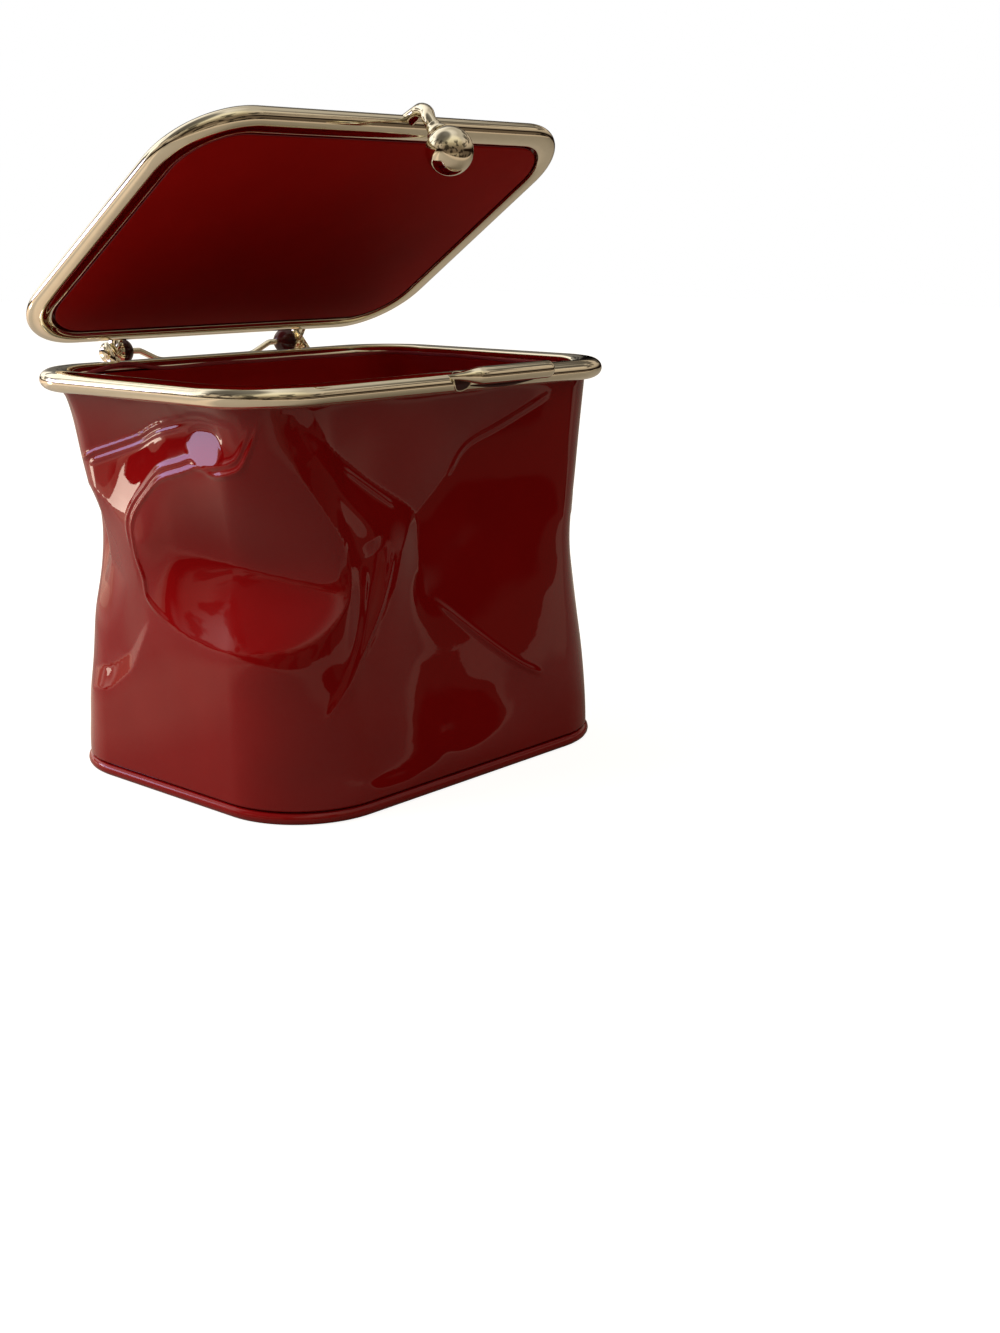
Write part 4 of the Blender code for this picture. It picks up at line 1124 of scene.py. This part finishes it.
def make_camera():
    camera = bpy.data.objects.new("photo_camera", bpy.data.cameras.new("photo_camera"))
    bpy.context.scene.collection.objects.link(camera)
    ahead = Vector((math.cos(PITCH) * math.sin(YAW), math.cos(PITCH) * math.cos(YAW), -math.sin(PITCH)))
    right = Vector((math.cos(YAW), -math.sin(YAW), 0))
    camera.matrix_world = Matrix.Translation(CAMERA_PLACE) @ Matrix(
        (right, right.cross(ahead), -ahead)).transposed().to_4x4()
    camera.data.sensor_fit = "VERTICAL"
    camera.data.sensor_height = 36
    camera.data.lens = 46.20
    camera.data.clip_start = 0.01
    bpy.context.scene.camera = camera
    print("camera at", CAMERA_PLACE, "m, lens", round(camera.data.lens, 1), "mm")


make_camera()

# %% [markdown]
# ## The paper
# The purse stands on a sweep of white paper. To the camera it is lifted to white by a glow of its own, which
# leaves a faint shadow, while the light that it gives the purse stays that of a plain pale sheet. The glossy
# leather and the metal mirror the table round the purse, which is pale in some places and dark in others. So
# in glossy and transmission rays the sheet has a second, weaker glow, in bands from front to back: bright in
# front of the purse, dark beside it and banded behind it, and weaker to the right.

# %% Sweep of paper
MULTIPLY, HIGHER = {"operation": "MULTIPLY"}, {"operation": "MAXIMUM"}
SMOOTH = {"interpolation_type": "SMOOTHSTEP"}
PAPER_FRONT, PAPER_RAMP_END = -0.24, 0.46
# The mirrored glow from front to back: (Y in metres, strength).
PAPER_GLOW = ((-0.24, 0.32), (-0.19, 0.32), (-0.15, 0.03), (0.02, 0.03), (0.045, 0.40), (0.075, 0.40),
              (0.11, 0.06), (0.19, 0.06), (0.25, 0.45), (0.40, 0.35))


def make_sweep_paper():
    material, tree, place = new_material("white_sweep_paper")
    paper = add_node(tree, "ShaderNodeBsdfDiffuse", Color=linear("a8a197"))
    rays = add_node(tree, "ShaderNodeLightPath").outputs
    mirrored = add_node(tree, "ShaderNodeMath", HIGHER, _0=rays["Is Glossy Ray"],
                        _1=rays["Is Transmission Ray"])
    where = add_node(tree, "ShaderNodeSeparateXYZ", Vector=place).outputs
    along = add_node(tree, "ShaderNodeMapRange", Value=where["Y"], From_Min=PAPER_FRONT,
                     From_Max=PAPER_RAMP_END)
    stops = [((y - PAPER_FRONT) / (PAPER_RAMP_END - PAPER_FRONT), (level, level, level, 1.0))
             for y, level in PAPER_GLOW]
    bands = add_node(tree, "ShaderNodeValToRGB", {"stops": stops}, Fac=along)
    left = add_node(tree, "ShaderNodeMapRange", SMOOTH, Value=where["X"], From_Min=-0.01, From_Max=0.04,
                    To_Min=1.0, To_Max=0.10)
    front = add_node(tree, "ShaderNodeMapRange", SMOOTH, Value=where["Y"], From_Min=-0.18, From_Max=-0.14,
                     To_Min=1.0, To_Max=0.0)
    part = add_node(tree, "ShaderNodeMath", HIGHER, _0=left, _1=front)
    seen = add_node(tree, "ShaderNodeMath", MULTIPLY, _0=mirrored, _1=bands)
    seen = add_node(tree, "ShaderNodeMath", MULTIPLY, _0=seen, _1=part)
    to_camera = add_node(tree, "ShaderNodeMath", MULTIPLY, _0=rays["Is Camera Ray"], _1=0.90)
    strength = add_node(tree, "ShaderNodeMath", HIGHER, _0=seen, _1=to_camera)
    tint = add_node(tree, "ShaderNodeMix", COLOUR, Factor=rays["Is Camera Ray"], _6=linear("ecccb0"),
                    _7=(1.0, 1.0, 1.0, 1.0))
    glow = add_node(tree, "ShaderNodeEmission", Color=tint, Strength=strength)
    return finished(material, add_node(tree, "ShaderNodeAddShader", _0=paper, _1=glow))


rows = [[(x, y, 0.0) for x in np.linspace(-1.8, 1.8, 9)] for y in (PAPER_FRONT, 0.0, 0.3, 0.8, 1.8)]
sweep = bpy.data.objects.new("paper_sweep", grid_mesh(rows, columns_close=False))
bpy.context.scene.collection.objects.link(sweep)
sweep.data.materials.append(make_sweep_paper())

# %% [markdown]
# ## The room
# Lacquer and nickel show the room more than themselves, so the room matters as much as the materials. It is
# a world of three parts. Behind the purse is the lit side with its windows. The front faces a pale, warm
# wall. Everywhere else is dimmer. In each, the colour changes with the height that one looks up, given as the
# sine of the elevation. A noise breaks it up below the ceiling, as furniture does, and three dark things
# stand in it. To the camera itself the world is plain white.

# %% Directions and heights
DIM = ((-1.0, "b09880", 0.40), (-0.03, "b09880", 0.22), (-0.012, "70503c", 0.05), (0.10, "70503c", 0.08),
       (0.20, "dcc8b0", 0.50), (0.45, "f0dcc4", 0.64), (0.70, "fff4e4", 0.50), (0.88, "fff4e4", 0.50),
       (1.0, "fff8ee", 0.85))
FACING = ((-1.0, "c8b498", 0.60), (-0.3, "c8b498", 0.60), (-0.15, "a08870", 0.40), (0.0, "b09880", 0.33),
          (0.30, "b8a488", 0.38), (0.55, "e4d4b4", 0.55), (0.78, "fff4d8", 0.90), (1.0, "fff8e8", 0.95))
LIT = ((-1.0, "fff2e0", 0.6), (-0.03, "ecccb0", 0.6), (-0.012, "70503c", 0.06), (0.03, "70503c", 0.06),
       (0.06, "fff4e4", 1.2), (0.4, "fffaf4", 1.3), (0.8, "fff8ee", 1.0), (1.0, "fff8ee", 0.75))
# A post, a dark part of the ceiling and the space behind: azimuth, elevation, the cosines at which the dark
# starts and is full, and how much light is left there.
DARK_THINGS = ((112, 13, 0.982, 0.990, 0.12), (165, 60, 0.80, 0.93, 0.25), (49, 16, 0.93, 0.975, 0.12))


def direction(azimuth, elevation):
    """A unit vector: azimuth from +X towards +Y, elevation from the horizon, in degrees."""
    azimuth, elevation = math.radians(azimuth), math.radians(elevation)
    level = math.cos(elevation)
    return (level * math.cos(azimuth), level * math.sin(azimuth), math.sin(elevation))


def by_height(levels):
    """Stops of a ramp over the sine of the elevation, from hex colours and strengths."""
    return [((sine + 1) / 2, tuple(level * c for c in linear(colour)[:3]) + (1.0,))
            for sine, colour, level in levels]


def towards(tree, way, azimuth, elevation, start, full, away=0.0, there=1.0):
    """A value that changes as a ray comes near a direction, between two cosines of the angle to it."""
    near = add_node(tree, "ShaderNodeVectorMath", {"operation": "DOT_PRODUCT"}, _0=way,
                    _1=direction(azimuth, elevation))
    return add_node(tree, "ShaderNodeMapRange", SMOOTH, Value=near, From_Min=start, From_Max=full,
                    To_Min=away, To_Max=there)


print("the window wall lies towards", [round(v, 2) for v in direction(90, 22)])

# %% Room
def make_room():
    world = bpy.data.worlds.new("pale_studio")
    bpy.context.scene.world = world
    world.use_nodes = True
    tree = world.node_tree
    tree.nodes.clear()
    way = add_node(tree, "ShaderNodeTexCoord").outputs["Generated"]
    rise = add_node(tree, "ShaderNodeSeparateXYZ", Vector=way).outputs["Z"]
    height = add_node(tree, "ShaderNodeMapRange", Value=rise, From_Min=-1.0, From_Max=1.0)
    dim, facing, lit = (add_node(tree, "ShaderNodeValToRGB", {"stops": by_height(levels)}, Fac=height)
                        for levels in (DIM, FACING, LIT))
    unlit = add_node(tree, "ShaderNodeMix", COLOUR, Factor=towards(tree, way, -118, 22, 0.50, 0.78), _6=dim,
                     _7=facing)
    colour = add_node(tree, "ShaderNodeMix", COLOUR, Factor=towards(tree, way, 90, 22, 0.58, 0.84), _6=unlit,
                      _7=lit)
    clutter = add_node(tree, "ShaderNodeTexNoise", Vector=way, Scale=3.2, Detail=3.0, Roughness=0.5)
    shade = add_node(tree, "ShaderNodeMapRange", SMOOTH, Value=clutter, From_Min=0.43, From_Max=0.50,
                     To_Min=0.22, To_Max=1.15)
    calm = add_node(tree, "ShaderNodeMapRange", SMOOTH, Value=rise, From_Min=0.60, From_Max=0.78)
    level = add_node(tree, "ShaderNodeMix", Factor=calm, _2=shade, _3=1.0)
    for azimuth, elevation, start, full, left in DARK_THINGS:
        dark = towards(tree, way, azimuth, elevation, start, full, 1.0, left)
        level = add_node(tree, "ShaderNodeMath", MULTIPLY, _0=level, _1=dark)
    room = add_node(tree, "ShaderNodeBackground", Color=colour, Strength=level)
    white = add_node(tree, "ShaderNodeBackground", Color=(1.0, 1.0, 1.0, 1.0), Strength=1.0)
    camera_ray = add_node(tree, "ShaderNodeLightPath").outputs["Is Camera Ray"]
    shown = add_node(tree, "ShaderNodeMixShader", Fac=camera_ray, _1=room, _2=white)
    add_node(tree, "ShaderNodeOutputWorld", Surface=shown)
    print("made the room", world.name, "with", len(tree.nodes), "nodes")


make_room()

# %% [markdown]
# ## The lamps
# One soft lamp high on the left gives the leather its plain light, and is kept out of reflections. Three
# small upright lamps are there for what they look like in the lacquer: the foot of a cream wall, the cool
# pane of the window that shows in the small flat, and a sunlit strip under it. Their strength is given as
# radiance, the brightness that the mirror image has, and the power follows from that and their size.

# %% Lamps
def add_softbox(name, place, aim, width, height, watts, colour):
    lamp = bpy.data.objects.new(name, bpy.data.lights.new(name, "AREA"))
    bpy.context.scene.collection.objects.link(lamp)
    lamp.data.shape, lamp.data.size, lamp.data.size_y = "RECTANGLE", width, height
    lamp.data.energy, lamp.data.color = watts, linear(colour)[:3]
    lamp.location = place
    lamp.rotation_euler = (Vector(aim) - Vector(place)).to_track_quat("-Z", "Y").to_euler()
    lamp.visible_camera = False
    print("lamp", name, round(watts, 2), "W")
    return lamp


def stand_lamp(name, azimuth, distance, bottom, top, width, radiance, colour):
    """An upright lamp that faces the purse, for reflections in the lacquer."""
    x, y, _ = (distance * v for v in direction(azimuth, 0))
    middle = (bottom + top) / 2
    watts = radiance * math.pi * width * (top - bottom)
    return add_softbox(name, (x, y, middle), (0, 0, middle), width, top - bottom, watts, colour)


fill_place = [0.8 * v for v in direction(138, 44)]
fill = add_softbox("left_fill", fill_place, (0, 0, 0.04), 0.6, 0.6, 5.4, "fffaf4")
fill.visible_glossy = False
stand_lamp("cream_wall", 98, 0.40, 0.001, 0.060, 0.40, 0.6, "f6d2b4")
stand_lamp("window_pane", 121, 0.40, 0.088, 0.185, 0.17, 5.0, "ccc8ff")
stand_lamp("sunlit_strip", 122, 0.20, 0.036, 0.058, 0.03, 7, "fff0dc")
bpy.context.scene.view_settings.view_transform = "Standard"
